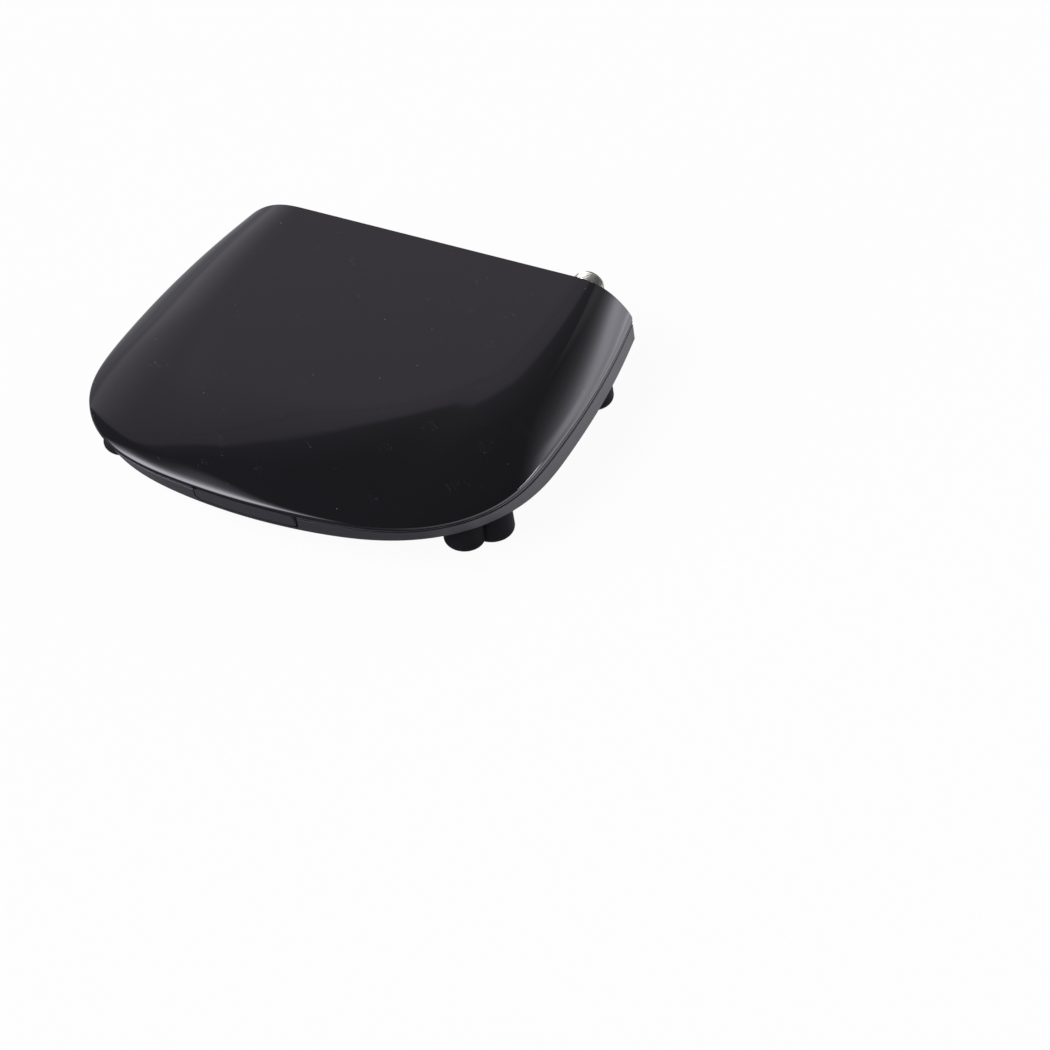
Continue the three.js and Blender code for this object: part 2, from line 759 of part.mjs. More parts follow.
// Aerial socket
function aerialBarrel() {
  const { radius, thickness } = aerialFlange;
  const flangeFace = panelFront - fitGap;
  const profile = [
    [0, flangeFace - thickness],
    [radius, flangeFace - thickness],
    [radius, flangeFace],
    [threadRoot, flangeFace],
    [threadRoot, threadRelief],
  ];
  for (let y = threadRelief; y + threadPitch < aerialReach - threadPitch / 2; y += threadPitch) {
    profile.push([threadRadius, y + threadPitch / 2]);
    profile.push([threadRoot, y + threadPitch]);
  }
  profile.push([threadRoot, aerialReach], [barrelBore, aerialReach], [barrelBore, 0], [0, 0]);
  return turnedOut(profile, [aerialAcross, 0, aerialHeight]);
}

function aerialBody() {
  const back = panelFront - aerialFlange.thickness - 2 * fitGap;
  const { width, height, length } = aerialBlock;
  return block(
    [aerialAcross - width / 2, back - length, aerialHeight - height / 2],
    [aerialAcross + width / 2, back, aerialHeight + height / 2],
  );
}

function aerialInsulator() {
  const bore = aerialContactRadius + fitGap;
  return turnedOut(
    [
      [bore, fitGap],
      [barrelBore - fitGap, fitGap],
      [barrelBore - fitGap, aerialReach - fitGap],
      [bore, aerialReach - fitGap],
      [bore, fitGap],
    ],
    [aerialAcross, 0, aerialHeight],
  );
}

const aerialContact = () =>
  plugOut(
    aerialContactRadius,
    [aerialAcross, aerialHeight],
    fitGap,
    aerialReach - aerialContactSink,
    smallSides,
  );

// Sockets along the rear
function hdmiShell() {
  const { width, height, length, wall, reach } = hdmi;
  const back = reach - rearLip - length;
  const outer = block(
    [hdmiAcross - width / 2, back, boardTop],
    [hdmiAcross + width / 2, reach - rearLip, boardTop + height],
  );
  const inner = block(
    [hdmiAcross - width / 2 + wall, back + wall, boardTop + wall],
    [hdmiAcross + width / 2 - wall, reach, boardTop + height - wall],
  );
  return cut(outer, inner);
}

function hdmiTongue() {
  const { width, height, length, wall, tongue, reach, tongueBack } = hdmi;
  const back = reach - rearLip - length + wall + fitGap;
  const half = width / 2 - wall - fitGap;
  const middle = boardTop + height / 2;
  const base = block(
    [hdmiAcross - half, back, boardTop + wall + fitGap],
    [hdmiAcross + half, back + hdmiBlockShare * length, boardTop + height - wall - fitGap],
  );
  const blade = block(
    [hdmiAcross - half + 2 * tongue, back, middle - tongue / 2],
    [hdmiAcross + half - 2 * tongue, reach - rearLip - tongueBack, middle + tongue / 2],
  );
  return join(base, blade);
}

function coaxBody() {
  const half = coax.body / 2;
  const back = panelFront - fitGap;
  return block(
    [coaxAcross - half, back - coax.length, socketHeight - half],
    [coaxAcross + half, back, socketHeight + half],
  );
}

function coaxRing() {
  const { ring, wall, reach } = coax;
  return turnedOut(
    [
      [ring - wall, panelFront],
      [ring, panelFront],
      [ring, reach - wall / 2],
      [ring - wall / 2, reach],
      [ring - wall, reach],
      [ring - wall, panelFront],
    ],
    [coaxAcross, 0, socketHeight],
  );
}

function coaxInsulator() {
  const { insulator, bore, reach, wall } = coax;
  return turnedOut(
    [
      [0, panelFront],
      [insulator - fitGap, panelFront],
      [insulator - fitGap, reach - wall],
      [bore, reach - wall],
      [bore, 0],
      [0, 0],
    ],
    [coaxAcross, 0, socketHeight],
  );
}

function roundJack(across) {
  const { width, height, length, collar, bore, reach } = av;
  const back = panelFront - fitGap;
  const body = block(
    [across - width / 2, back - length, boardTop],
    [across + width / 2, back, boardTop + height],
  );
  const front = plugOut(collar, [across, socketHeight], back - overrun, reach);
  const hole = plugOut(bore, [across, socketHeight], back - length + bore, reach + overrun);
  return cut(join(body, front), hole);
}

function powerJack() {
  const { width, height, length, bore, reach, depth } = dc;
  const middle = socketHeight;
  const body = block(
    [dcAcross - width / 2, panelFront - length, middle - height / 2],
    [dcAcross + width / 2, reach - rearLip, middle + height / 2],
  );
  return cut(body, plugOut(bore, [dcAcross, middle], reach - depth, reach + overrun));
}

const powerPin = () =>
  plugOut(dc.pin, [dcAcross, socketHeight], dc.reach - dc.depth, -rearLip - fitGap, postSides);

// Parts on the board
function chip({ width, depth, height, acrossShare, backShare }, from = boardTop) {
  const [x, y] = onBoard([acrossShare, backShare]);
  return block([x - width / 2, y - depth / 2, from], [x + width / 2, y + depth / 2, from + height]);
}

function tunerFrame() {
  const { width, depth, height, wall, acrossShare, backShare } = tuner;
  const [x, y] = onBoard([acrossShare, backShare]);
  const outer = block(
    [x - width / 2, y - depth / 2, boardTop],
    [x + width / 2, y + depth / 2, boardTop + height],
  );
  const room = (x0, x1) => block(
    [x0, y - depth / 2 + wall, boardTop - overrun],
    [x1, y + depth / 2 - wall, boardTop + height + overrun],
  );
  return cut(outer, room(x - width / 2 + wall, x - wall / 2), room(x + wall / 2, x + width / 2 - wall));
}

function tunerLid() {
  const { width, depth, height, lid, skirt, acrossShare, backShare } = tuner;
  const [x, y] = onBoard([acrossShare, backShare]);
  const top = boardTop + height;
  const grow = fitGap + lid;
  const outer = block(
    [x - width / 2 - grow, y - depth / 2 - grow, top - skirt],
    [x + width / 2 + grow, y + depth / 2 + grow, top + lid],
  );
  const inner = block(
    [x - width / 2 - fitGap, y - depth / 2 - fitGap, top - skirt - overrun],
    [x + width / 2 + fitGap, y + depth / 2 + fitGap, top],
  );
  return cut(outer, inner);
}

function chipHeatsink() {
  const { width, depth, base, fin, height, fins, pad } = heatsink;
  const [x, y] = onBoard([mainChip.acrossShare, mainChip.backShare]);
  const from = boardTop + mainChip.height + pad;
  let sink = block([x - width / 2, y - depth / 2, from], [x + width / 2, y + depth / 2, from + base]);
  const pitch = (width - fin) / (fins - 1);
  for (let i = 0; i < fins; i++) {
    const left = x - width / 2 + i * pitch;
    sink = sink.add(block([left, y - depth / 2, from], [left + fin, y + depth / 2, from + height]));
  }
  return sink;
}

const thermalPad = () => {
  const { width, depth, acrossShare, backShare, height } = mainChip;
  return chip({ width, depth, acrossShare, backShare, height: heatsink.pad }, boardTop + height);
};

function canCapacitor(place) {
  const { radius, height, groove, ring } = capacitor;
  const [x, y] = onBoard(place);
  return turned(
    [
      [0, 0],
      [radius, 0],
      [radius, ring],
      [radius - groove, 2 * ring],
      [radius, 3 * ring],
      [radius, height - groove],
      [radius - groove, height],
      [0, height],
    ],
    [x, y, boardTop],
  );
}

// A wound inductor: a square base with a round drum in it
function boardInductor(place) {
  const { width, depth, height, baseShare } = inductor;
  const [x, y] = onBoard(place);
  const base = block(
    [x - width / 2, y - depth / 2, boardTop],
    [x + width / 2, y + depth / 2, boardTop + baseShare * height],
  );
  return join(base, post(width / 2, [x, y], boardTop, boardTop + height, roundSides));
}

// Behind the flap
function usbShell() {
  const { across, width, height, length, wall, tab } = usb;
  const left = across - width / 2;
  const right = across + width / 2;
  const outer = block([left, usbMouth, usbLow], [right, usbMouth + length, usbLow + height]);
  const inner = block(
    [left + wall, usbMouth - overrun, usbLow + wall],
    [right - wall, usbMouth + length - wall, usbLow + height - wall],
  );
  const tabBack = usbMouth + length - tab;
  const tabs = block([left - tab, tabBack - tab, boardTop], [right + tab, tabBack, boardTop + wall]);
  return cut(join(outer, tabs), inner);
}

function usbTongue() {
  const { across, width, height, length, wall } = usb;
  const half = width / 2 - wall - fitGap;
  const high = usbLow + height - wall - fitGap;
  const end = usbMouth + length - wall - fitGap;
  const base = block(
    [across - half, end - usbTongueSize.blockShare * length, usbLow + wall + fitGap],
    [across + half, end, high],
  );
  const blade = block(
    [across - half, usbMouth + usbTongueSize.back, high - usbTongueSize.thickness],
    [across + half, end, high],
  );
  return join(base, blade);
}

function remoteEye() {
  const { radius, width, thickness, height, across, back } = eye;
  const y = boardFront + back;
  const body = block(
    [across - width / 2, y, boardTop],
    [across + width / 2, y + thickness, boardTop + height],
  );
  const ball = new THREE.SphereGeometry(radius, postSides, lensBands);
  const lens = ball.translate(across, y + lensSinkShare * radius, boardTop + height / 2);
  return join(body, solid(lens));
}

function lightGuide() {
  const { width, height, flange, gapShare, across } = light;
  const z = lightMiddle();
  const face = faceAt(across, z) + fitGap;
  const w = width / 2 - fitGap / 2;
  const h = height / 2 - gapShare * fitGap;
  const stem = block([across - w, face, z - h], [across + w, boardFront - fitGap, z + h]);
  const head = block(
    [across - w - flange, boardFront - fitGap - flange, z - h - flange],
    [across + w + flange, boardFront - fitGap, boardTop + lamp.height - fitGap],
  );
  return join(stem, head);
}

function statusLamp() {
  const y = boardFront;
  return block(
    [light.across - lamp.width / 2, y, boardTop],
    [light.across + lamp.width / 2, y + lamp.depth, boardTop + lamp.height],
  );
}

const finish = (color, roughness, metalness = 0) =>
  new THREE.MeshStandardMaterial({ color, roughness, metalness });
const glossBlack = finish("#1c1a1f", 0.06);
const matteGrey = finish("#3b3a41", 0.6);
const rubber = finish("#151416", 0.75);
const panelBlack = finish("#1d1c1f", 0.7);
const nickel = finish("#b9b5ad", 0.28, 1);
const steel = finish("#a6a8aa", 0.35, 1);
const zincBlack = finish("#4a4848", 0.4, 1);
const tin = finish("#c4c6c8", 0.3, 1);
const gold = finish("#c9a452", 0.3, 1);
const whitePlastic = finish("#e4e2dc", 0.45);
const blackPlastic = finish("#161616", 0.5);
const orangePlastic = finish("#c8681c", 0.5);
const boardGreen = finish("#1f5a38", 0.5);
const chipBlack = finish("#202124", 0.55);
const sinkBlack = finish("#26272a", 0.5, 1);
const padGrey = finish("#8d9096", 0.9);
const clear = finish("#dfe8ee", 0.1);
const smoked = finish("#1a1216", 0.1);

// Everything stands in one group, whose rear face is moved back so that the origin is under the middle
const receiver = new THREE.Group();
const chassis = new THREE.Group();
chassis.position.y = (caseDepth - aerialReach) / 2;
receiver.add(chassis);

function place(name, body, material) {
  const mesh = new THREE.Mesh(geometryOf(body), material);
  mesh.name = name;
  chassis.add(mesh);
}

place("top_cover", topCover(), glossBlack);
place("bottom_shell", bottomShell(), matteGrey);
place("rear_panel", rearPanel(), panelBlack);
place("usb_flap", usbFlap(), matteGrey);
for (const [corner, places] of Object.entries(feet)) {
  place(`foot_${corner}`, foot(places), rubber);
  place(`case_screw_${corner}`, caseScrew(places.inner), steel);
}
place("main_board", mainBoard(), boardGreen);
boardHoles.forEach((hole, i) => place(`board_screw_${i + 1}`, boardScrew(hole), steel));

place("aerial_barrel", aerialBarrel(), nickel);
place("aerial_block", aerialBody(), zincBlack);
place("aerial_insulator", aerialInsulator(), whitePlastic);
place("aerial_contact", aerialContact(), gold);
place("hdmi_shell", hdmiShell(), tin);
place("hdmi_tongue", hdmiTongue(), blackPlastic);
place("coax_body", coaxBody(), orangePlastic);
place("coax_ring", coaxRing(), nickel);
place("coax_insulator", coaxInsulator(), orangePlastic);
place("av_jack", roundJack(avAcross), blackPlastic);
place("infrared_jack", roundJack(irAcross), blackPlastic);
place("power_jack", powerJack(), blackPlastic);
place("power_pin", powerPin(), nickel);

place("tuner_frame", tunerFrame(), tin);
place("tuner_lid", tunerLid(), tin);
place("main_chip", chip(mainChip), chipBlack);
place("thermal_pad", thermalPad(), padGrey);
place("heatsink", chipHeatsink(), sinkBlack);
place("memory_chip", chip(memoryChip), chipBlack);
place("flash_chip", chip(flashChip), chipBlack);
place("power_chip", chip(powerChip), chipBlack);
place("crystal", chip(crystal), tin);
inductorShares.forEach((share, i) => place(`inductor_${i + 1}`, boardInductor(share), chipBlack));
capacitorShares.forEach((share, i) => place(`capacitor_${i + 1}`, canCapacitor(share), tin));

place("usb_shell", usbShell(), tin);
place("usb_tongue", usbTongue(), whitePlastic);
place("remote_eye", remoteEye(), smoked);
place("light_guide", lightGuide(), clear);
place("status_lamp", statusLamp(), whitePlastic);

export default receiver;
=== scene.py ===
import math

import bmesh
import bpy
from mathutils import Matrix, Vector


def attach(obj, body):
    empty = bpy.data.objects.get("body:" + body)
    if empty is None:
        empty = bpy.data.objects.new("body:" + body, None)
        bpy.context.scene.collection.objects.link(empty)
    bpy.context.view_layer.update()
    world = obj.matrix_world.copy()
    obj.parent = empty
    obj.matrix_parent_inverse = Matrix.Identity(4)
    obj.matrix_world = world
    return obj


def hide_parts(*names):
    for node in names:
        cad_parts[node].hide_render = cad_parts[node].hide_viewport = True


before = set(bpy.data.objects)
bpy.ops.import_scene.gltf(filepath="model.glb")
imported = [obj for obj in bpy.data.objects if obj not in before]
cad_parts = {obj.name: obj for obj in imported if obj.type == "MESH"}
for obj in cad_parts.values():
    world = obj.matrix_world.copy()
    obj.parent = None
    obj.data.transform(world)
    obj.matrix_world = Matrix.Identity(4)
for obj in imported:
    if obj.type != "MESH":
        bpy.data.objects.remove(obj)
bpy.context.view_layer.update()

# Cover: one injection-moulded dome of black plastic with a flat crown, soft shoulders and an upright
# skirt. Its mould is polished, so it is as bright as piano lacquer. Four bosses inside take the screws.


def four_corners(rear, front):
    """A place at each corner, from the two on the right."""
    return {
        "rear_right": rear,
        "rear_left": (-rear[0], rear[1]),
        "front_right": front,
        "front_left": (-front[0], front[1]),
    }


MM = 0.001
WELD = 0.0005
POST_SIDES = 48
PAST_CASE = {"side": 70, "front": -120, "rear": 2, "top": 30}
FOOT_HEIGHT = 8
SEAM_HEIGHT = 14.5
TOP_HEIGHT = 24
FLOOR_TOP = 9.8
SKIRT = 1
COVER_WALL = 2
REAR_LIP = 0.8
REAR_LIP_REACH = 1.2
CASE_DEPTH = 115
REAR_AT = 52.3
SEAM_OUTLINE = {"half": 63.6, "side": 332, "bulge": 53.5, "depth": 115, "front": 169.6, "corner": 38.2}
CROWN_OUTLINE = {"half": 40.4, "side": 685, "bulge": 0, "depth": 76.2, "front": 39.592, "corner": 29.896}
ARC_STEPS = (36, 26, 16)
OUTLINE_EASE_PASSES = 40
SHOULDER_STEPS = 32
SHOULDER_POWER = 2.8
SHOULDER_CROWDING = 1.15
CROWN_MIDDLE = 0.3
CROWN_RINGS = (0.02, 0.06, 0.2, 0.5)
CREASE_FOOT = 0.62
CREASE_REACH = 0.075
CREASE_STEPS = 10
BOSS_RADIUS = 3.4
SCREW_HOLE_RADIUS = 1.8
SCREW_HOLE_TOP = 17.5
SCREW_PLACES = four_corners((51.5, -13.6), (50.1, -90.1))
PANEL_RIBS = ((30.6, 35.38), (12.23, 18.28), (-23.84, -19.03))
PANEL_RIB_BACK = -3
PANEL_RIB_THICKNESS = 1.2
PANEL_RIB_HEIGHT = 2.4
PIANO_BLACK = (0.0035, 0.0033, 0.0042)
WIPED_GREY = (0.05, 0.05, 0.052)
DUST_GREY = (0.11, 0.105, 0.1)
HAIRLINE_THICKNESS = 0.0022
HAIRLINE_STRETCH = 14
HAIRLINE_PATCHES = 130


def put_in(name, data):
    """A new object in the scene for a mesh, lamp or camera."""
    thing = bpy.data.objects.new(name, data)
    bpy.context.scene.collection.objects.link(thing)
    return thing


def put_in_order(elements, place):
    """The same order in every run, because the exact booleans' results hang on it."""
    ranks = {element: rank for rank, element in enumerate(sorted(elements, key=place))}
    elements.sort(key=ranks.get)
    elements.index_update()


def drawn(name, bm):
    """The shape drawn in millimetres from the case's rear edge, as an object in metres."""
    bmesh.ops.remove_doubles(bm, verts=bm.verts[:], dist=WELD)
    bmesh.ops.recalc_face_normals(bm, faces=bm.faces[:])
    bmesh.ops.translate(bm, vec=(0, REAR_AT, 0), verts=bm.verts[:])
    bmesh.ops.scale(bm, vec=(MM, MM, MM), verts=bm.verts[:])
    put_in_order(bm.verts, lambda vertex: tuple(vertex.co))
    for elements in (bm.edges, bm.faces):
        put_in_order(elements, lambda element: sorted(vertex.index for vertex in element.verts))
    mesh = bpy.data.meshes.new(name)
    bm.to_mesh(mesh)
    bm.free()
    return put_in(name, mesh)


def outline(shape, inset, rear):
    """Points round the case, from the rear left round the front to the rear right."""
    side_radius, front_radius, corner_radius = (shape[arc] - inset for arc in ("side", "front", "corner"))
    side = Vector((shape["half"] - shape["side"], -shape["bulge"]))
    front = Vector((0, shape["front"] - shape["depth"]))
    between = front - side
    distance = between.length
    to_side = side_radius - corner_radius
    to_front = front_radius - corner_radius
    along = (to_side ** 2 - to_front ** 2 + distance ** 2) / (2 * distance)
    off = math.sqrt(max(to_side ** 2 - along ** 2, 0))
    between.normalize()
    corner = side + between * along + Vector((between.y, -between.x)) * off
    start = math.asin((rear - side.y) / side_radius)
    side_end = math.atan2(corner.y - side.y, corner.x - side.x)
    corner_end = math.atan2(corner.y - front.y, corner.x - front.x)
    arcs = (
        (side, side_radius, start, side_end),
        (corner, corner_radius, side_end, corner_end),
        (front, front_radius, corner_end, -math.pi / 2),
    )
    half = []
    for (centre, radius, first, last), steps in zip(arcs, ARC_STEPS):
        for i in range(1 if half else 0, steps + 1):
            angle = first + (last - first) * i / steps
            half.append(centre + Vector((math.cos(angle), math.sin(angle))) * radius)
    left = [Vector((-p.x, p.y)) for p in half[:-1]]
    return eased(left + half[::-1])


def averaged(points):
    """One pass of smoothing along a line of points, whose ends stay where they are."""
    padded = [points[0] * 2 - points[1], *points, points[-1] * 2 - points[-2]]
    return [(a + b * 2 + c) / 4 for a, b, c in zip(padded, padded[1:], padded[2:])]


def eased(points):
    """The outline with its arcs run into each other, without drawing the corners in."""
    once = points
    for _ in range(OUTLINE_EASE_PASSES):
        once = averaged(once)
    twice = once
    for _ in range(OUTLINE_EASE_PASSES):
        twice = averaged(twice)
    return [a * 2 - b for a, b in zip(once, twice)]


def points_of(made):
    return [v for v in made if isinstance(v, bmesh.types.BMVert)]


def skin_over(name, rings):
    """A closed mesh whose first ring is extruded upwards through the others."""
    bm = bmesh.new()
    place = bm.verts.layers.int.new("place")
    loop = [bm.verts.new(p) for p in rings[0]]
    for i, vert in enumerate(loop):
        vert[place] = i
    edges = [bm.edges.new((loop[i - 1], loop[i])) for i in range(len(loop))]
    bmesh.ops.contextual_create(bm, geom=edges)
    for ring in rings[1:]:
        made = bmesh.ops.extrude_edge_only(bm, edges=edges)["geom"]
        fresh = set(points_of(made))
        for vert in fresh:
            vert.co = ring[vert[place]]
        edges = [e for e in made if isinstance(e, bmesh.types.BMEdge) and fresh.issuperset(e.verts)]
    bmesh.ops.contextual_create(bm, geom=edges)
    return drawn(name, bm)


def shoulder_height(share):
    """How high the dome stands when it has gone this share of the way in to the crown."""
    return TOP_HEIGHT - (TOP_HEIGHT - SEAM_HEIGHT - SKIRT) * (1 - share) ** SHOULDER_POWER


def dome_levels(rounded):
    """Pairs of the share of the way in and the height, from the skirt's top up to the crown."""
    levels = []
    first = 0
    if rounded:
        foot = Vector((0, shoulder_height(0) - CREASE_FOOT))
        crease = Vector((0, shoulder_height(0)))
        above = Vector((CREASE_REACH, shoulder_height(CREASE_REACH)))
        for i in range(CREASE_STEPS):
            t = i / CREASE_STEPS
            levels.append(tuple(foot * (1 - t) ** 2 + crease * 2 * t * (1 - t) + above * t ** 2))
        first = CREASE_REACH
    for i in range(SHOULDER_STEPS + 1):
        share = first + (1 - first) * (i / SHOULDER_STEPS) ** SHOULDER_CROWDING
        levels.append((share, shoulder_height(share)))
    return levels


def dome(name, inset, rear, bottom, rounded=False):
    """The cover's outside, or its hollow where it is inset and starts further forward."""
    seam = outline(SEAM_OUTLINE, inset, rear)
    crown = outline(CROWN_OUTLINE, inset, rear)
    rings = [[Vector((p.x, p.y, bottom)) for p in seam]]
    for share, height in dome_levels(rounded):
        level = [s.lerp(c, share) for s, c in zip(seam, crown)]
        rings.append([Vector((p.x, p.y, height - inset)) for p in level])
    middle = Vector((0, -CASE_DEPTH * CROWN_MIDDLE))
    for share in CROWN_RINGS:
        level = [c.lerp(middle, share) for c in crown]
        rings.append([Vector((p.x, p.y, TOP_HEIGHT - inset)) for p in level])
    return skin_over(name, rings)


def lay_back(bm):
    """Turns an upright shape so that it points out of the rear."""
    bmesh.ops.rotate(bm, cent=(0, 0, 0), matrix=Matrix.Rotation(-math.pi / 2, 3, "X"), verts=bm.verts[:])


def post(name, radius, place, low, high, outwards=False):
    """An upright post at (x, y), or one at (x, z) that points out of the rear."""
    bm = bmesh.new()
    bmesh.ops.create_cone(
        bm, cap_ends=True, segments=POST_SIDES, radius1=radius, radius2=radius, depth=high - low
    )
    bmesh.ops.translate(bm, vec=(place[0], place[1], (low + high) / 2), verts=bm.verts[:])
    if outwards:
        lay_back(bm)
        bmesh.ops.translate(bm, vec=(0, 0, place[1] * 2), verts=bm.verts[:])
    return drawn(name, bm)


def ease(bm, places, offset, steps, affect="EDGES"):
    """Rounds the places, and stops where two roundings would meet."""
    bmesh.ops.bevel(
        bm, geom=places, offset=offset, affect=affect, segments=steps, profile=0.5, material=-1,
        clamp_overlap=True,
    )


def block(name, low, high, rounding=0, steps=3):
    bm = bmesh.new()
    bmesh.ops.create_cube(bm, size=1)
    bmesh.ops.scale(bm, vec=[b - a for a, b in zip(low, high)], verts=bm.verts[:])
    bmesh.ops.translate(bm, vec=[(a + b) / 2 for a, b in zip(low, high)], verts=bm.verts[:])
    if rounding:
        ease(bm, bm.edges[:], rounding, steps)
    return drawn(name, bm)


def reach(piece):
    """The lowest and highest corner of a shape."""
    by_axis = list(zip(*(vert.co for vert in piece.data.vertices)))
    return [min(values) for values in by_axis], [max(values) for values in by_axis]


def apart(first, second):
    (first_low, first_high), (second_low, second_high) = reach(first), reach(second)
    return any(first_high[i] < second_low[i] or first_low[i] > second_high[i] for i in range(3))


def gathered(tools):
    """Shapes that stay clear of each other share one mesh, so that one cut does for all of them."""
    groups = []
    for tool in tools:
        group = next((g for g in groups if all(apart(tool, other) for other in g)), None)
        if group:
            group.append(tool)
        else:
            groups.append([tool])
    for first, *others in groups:
        bm = bmesh.new()
        bm.from_mesh(first.data)
        for other in others:
            bm.from_mesh(other.data)
            bpy.data.objects.remove(other)
        bm.to_mesh(first.data)
        bm.free()
    return [group[0] for group in groups]


def combine(piece, operation, tools):
    """Joins or cuts the piece with closed shapes, and leaves a plain mesh."""
    tools = gathered(tools)
    for tool in tools:
        modifier = piece.modifiers.new("combine", "BOOLEAN")
        modifier.operation = operation
        modifier.solver = "EXACT"
        modifier.object = tool
    seen = piece.evaluated_get(bpy.context.evaluated_depsgraph_get())
    mesh = bpy.data.meshes.new_from_object(seen)
    piece.modifiers.clear()
    piece.data = mesh
    for tool in tools:
        bpy.data.objects.remove(tool)
    return piece


def carve(piece, *tools):
    return combine(piece, "DIFFERENCE", tools)


def join_on(piece, *tools):
    return combine(piece, "UNION", tools)


def keep_within(piece, *tools):
    return combine(piece, "INTERSECT", tools)


def smooth_to(piece, degrees):
    """Smooth shading, with the edges sharper than this left hard."""
    bm = bmesh.new()
    bm.from_mesh(piece.data)
    for face in bm.faces:
        face.smooth = True
    for edge in bm.edges:
        edge.smooth = len(edge.link_faces) == 2 and edge.calc_face_angle(0) < math.radians(degrees)
    bm.to_mesh(piece.data)
    bm.free()


def stand_for(piece, finish, slot, *nodes, body="case", degrees=35):
    """Gives a piece its finish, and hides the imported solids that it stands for."""
    smooth_to(piece, degrees)
    piece.data.materials.clear()
    piece.data.materials.append(finish)
    if nodes:
        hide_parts(*nodes)
    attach(piece, body)
    return piece


def fitted(tree, kind, inputs, **settings):
    """A new node, each of whose inputs is given a plain value or the socket that feeds it."""
    node = tree.nodes.new(kind)
    for setting, choice in settings.items():
        setattr(node, setting, choice)
    for label, value in inputs.items():
        if isinstance(value, bpy.types.NodeSocket):
            tree.links.new(value, node.inputs[label])
        else:
            node.inputs[label].default_value = value
    return node


def object_place(tree):
    return tree.nodes.new("ShaderNodeTexCoord").outputs["Object"]


def worked(tree, operation, *values):
    """A sum of one, two or three values, each of them a socket or a plain number."""
    return fitted(tree, "ShaderNodeMath", dict(enumerate(values)), operation=operation).outputs["Value"]


def new_group(name, inputs, outputs):
    tree = bpy.data.node_groups.new(name, "ShaderNodeTree")
    for label, value in inputs:
        socket = tree.interface.new_socket(label, in_out="INPUT", socket_type="NodeSocketFloat")
        socket.default_value = value
    for label in outputs:
        tree.interface.new_socket(label, in_out="OUTPUT", socket_type="NodeSocketFloat")
    return tree, tree.nodes.new("NodeGroupInput").outputs, tree.nodes.new("NodeGroupOutput").inputs


def dust_group():
    """Scattered specks: a mask that is 1 on each speck."""
    tree, given, out = new_group(
        "Dust specks", [("Pitch", 260), ("Size", 0.08), ("Share", 0.1)], ["Mask"]
    )
    place = object_place(tree)
    cells = fitted(tree, "ShaderNodeTexVoronoi", {"Vector": place, "Scale": given["Pitch"]}).outputs
    small = worked(tree, "LESS_THAN", cells["Distance"], given["Size"])
    pick = fitted(tree, "ShaderNodeSeparateColor", {"Color": cells["Color"]}).outputs["Red"]
    chosen = worked(tree, "LESS_THAN", pick, given["Share"])
    tree.links.new(worked(tree, "MULTIPLY", small, chosen), out["Mask"])
    return tree


def grain_group():
    """The fine spark-eroded grain of a mould, as a height, and its wide clouds."""
    tree, given, out = new_group(
        "Moulded grain", [("Pitch", 2600), ("Cloud", 60)], ["Height", "Cloudiness"]
    )
    place = object_place(tree)
    for label, pitch, detail in (("Height", "Pitch", 3), ("Cloudiness", "Cloud", 2)):
        inputs = {"Vector": place, "Scale": given[pitch], "Detail": detail, "Roughness": 0.65}
        tree.links.new(fitted(tree, "ShaderNodeTexNoise", inputs).outputs["Fac"], out[label])
    return tree


def hairline_group():
    """A few short wiping scratches, all in about one direction: a mask."""
    tree, given, out = new_group(
        "Hairlines", [("Pitch", 90), ("Turn", 0.6), ("Share", 0.25)], ["Mask"]
    )
    place = object_place(tree)
    inputs = {"Vector": place, "Angle": given["Turn"]}
    aside = fitted(tree, "ShaderNodeVectorRotate", inputs, rotation_type="Z_AXIS").outputs["Vector"]
    inputs = {"Vector": aside, "Scale": (1, HAIRLINE_STRETCH, 1)}
    stretched = fitted(tree, "ShaderNodeMapping", inputs).outputs["Vector"]
    inputs = {"Vector": stretched, "Scale": given["Pitch"], "Detail": 1}
    lines = fitted(tree, "ShaderNodeTexNoise", inputs).outputs["Fac"]
    near = worked(tree, "ABSOLUTE", worked(tree, "SUBTRACT", lines, 0.5))
    thin = worked(tree, "LESS_THAN", near, HAIRLINE_THICKNESS)
    inputs = {"Vector": place, "Scale": HAIRLINE_PATCHES}
    patches = fitted(tree, "ShaderNodeTexNoise", inputs).outputs["Fac"]
    here = worked(tree, "LESS_THAN", patches, given["Share"])
    tree.links.new(worked(tree, "MULTIPLY", thin, here), out["Mask"])
    return tree


DUST = dust_group()
GRAIN = grain_group()
HAIRLINES = hairline_group()


def new_finish(name):
    finish = bpy.data.materials.new(name)
    finish.use_nodes = True
    return finish, finish.node_tree, finish.node_tree.nodes["Principled BSDF"]


def placed(tree, group, **values):
    node = tree.nodes.new("ShaderNodeGroup")
    node.node_tree = group
    for label, value in values.items():
        node.inputs[label].default_value = value
    return node.outputs


def mix_colours(tree, factor, *colours):
    first, second = (c if isinstance(c, bpy.types.NodeSocket) else (*c, 1) for c in colours)
    inputs = {"Factor": factor, "A": first, "B": second}
    return fitted(tree, "ShaderNodeMix", inputs, data_type="RGBA").outputs["Result"]


def spread(tree, value, low, high, start=0, end=1):
    """The value's stretch from start to end, spread from low to high."""
    inputs = {"Value": value, "From Min": start, "From Max": end, "To Min": low, "To Max": high}
    return fitted(tree, "ShaderNodeMapRange", inputs).outputs["Result"]


def surface(finish, colour, dull_by, dullness, height, strength, depth=0.00001):
    """Joins a colour, a roughness spread between two values and a bump to the finish's shader."""
    material, tree, shader = finish
    tree.links.new(colour, shader.inputs["Base Color"])
    tree.links.new(spread(tree, dull_by, *dullness), shader.inputs["Roughness"])
    bump = fitted(tree, "ShaderNodeBump", {"Height": height, "Strength": strength, "Distance": depth})
    tree.links.new(bump.outputs["Normal"], shader.inputs["Normal"])
    return material


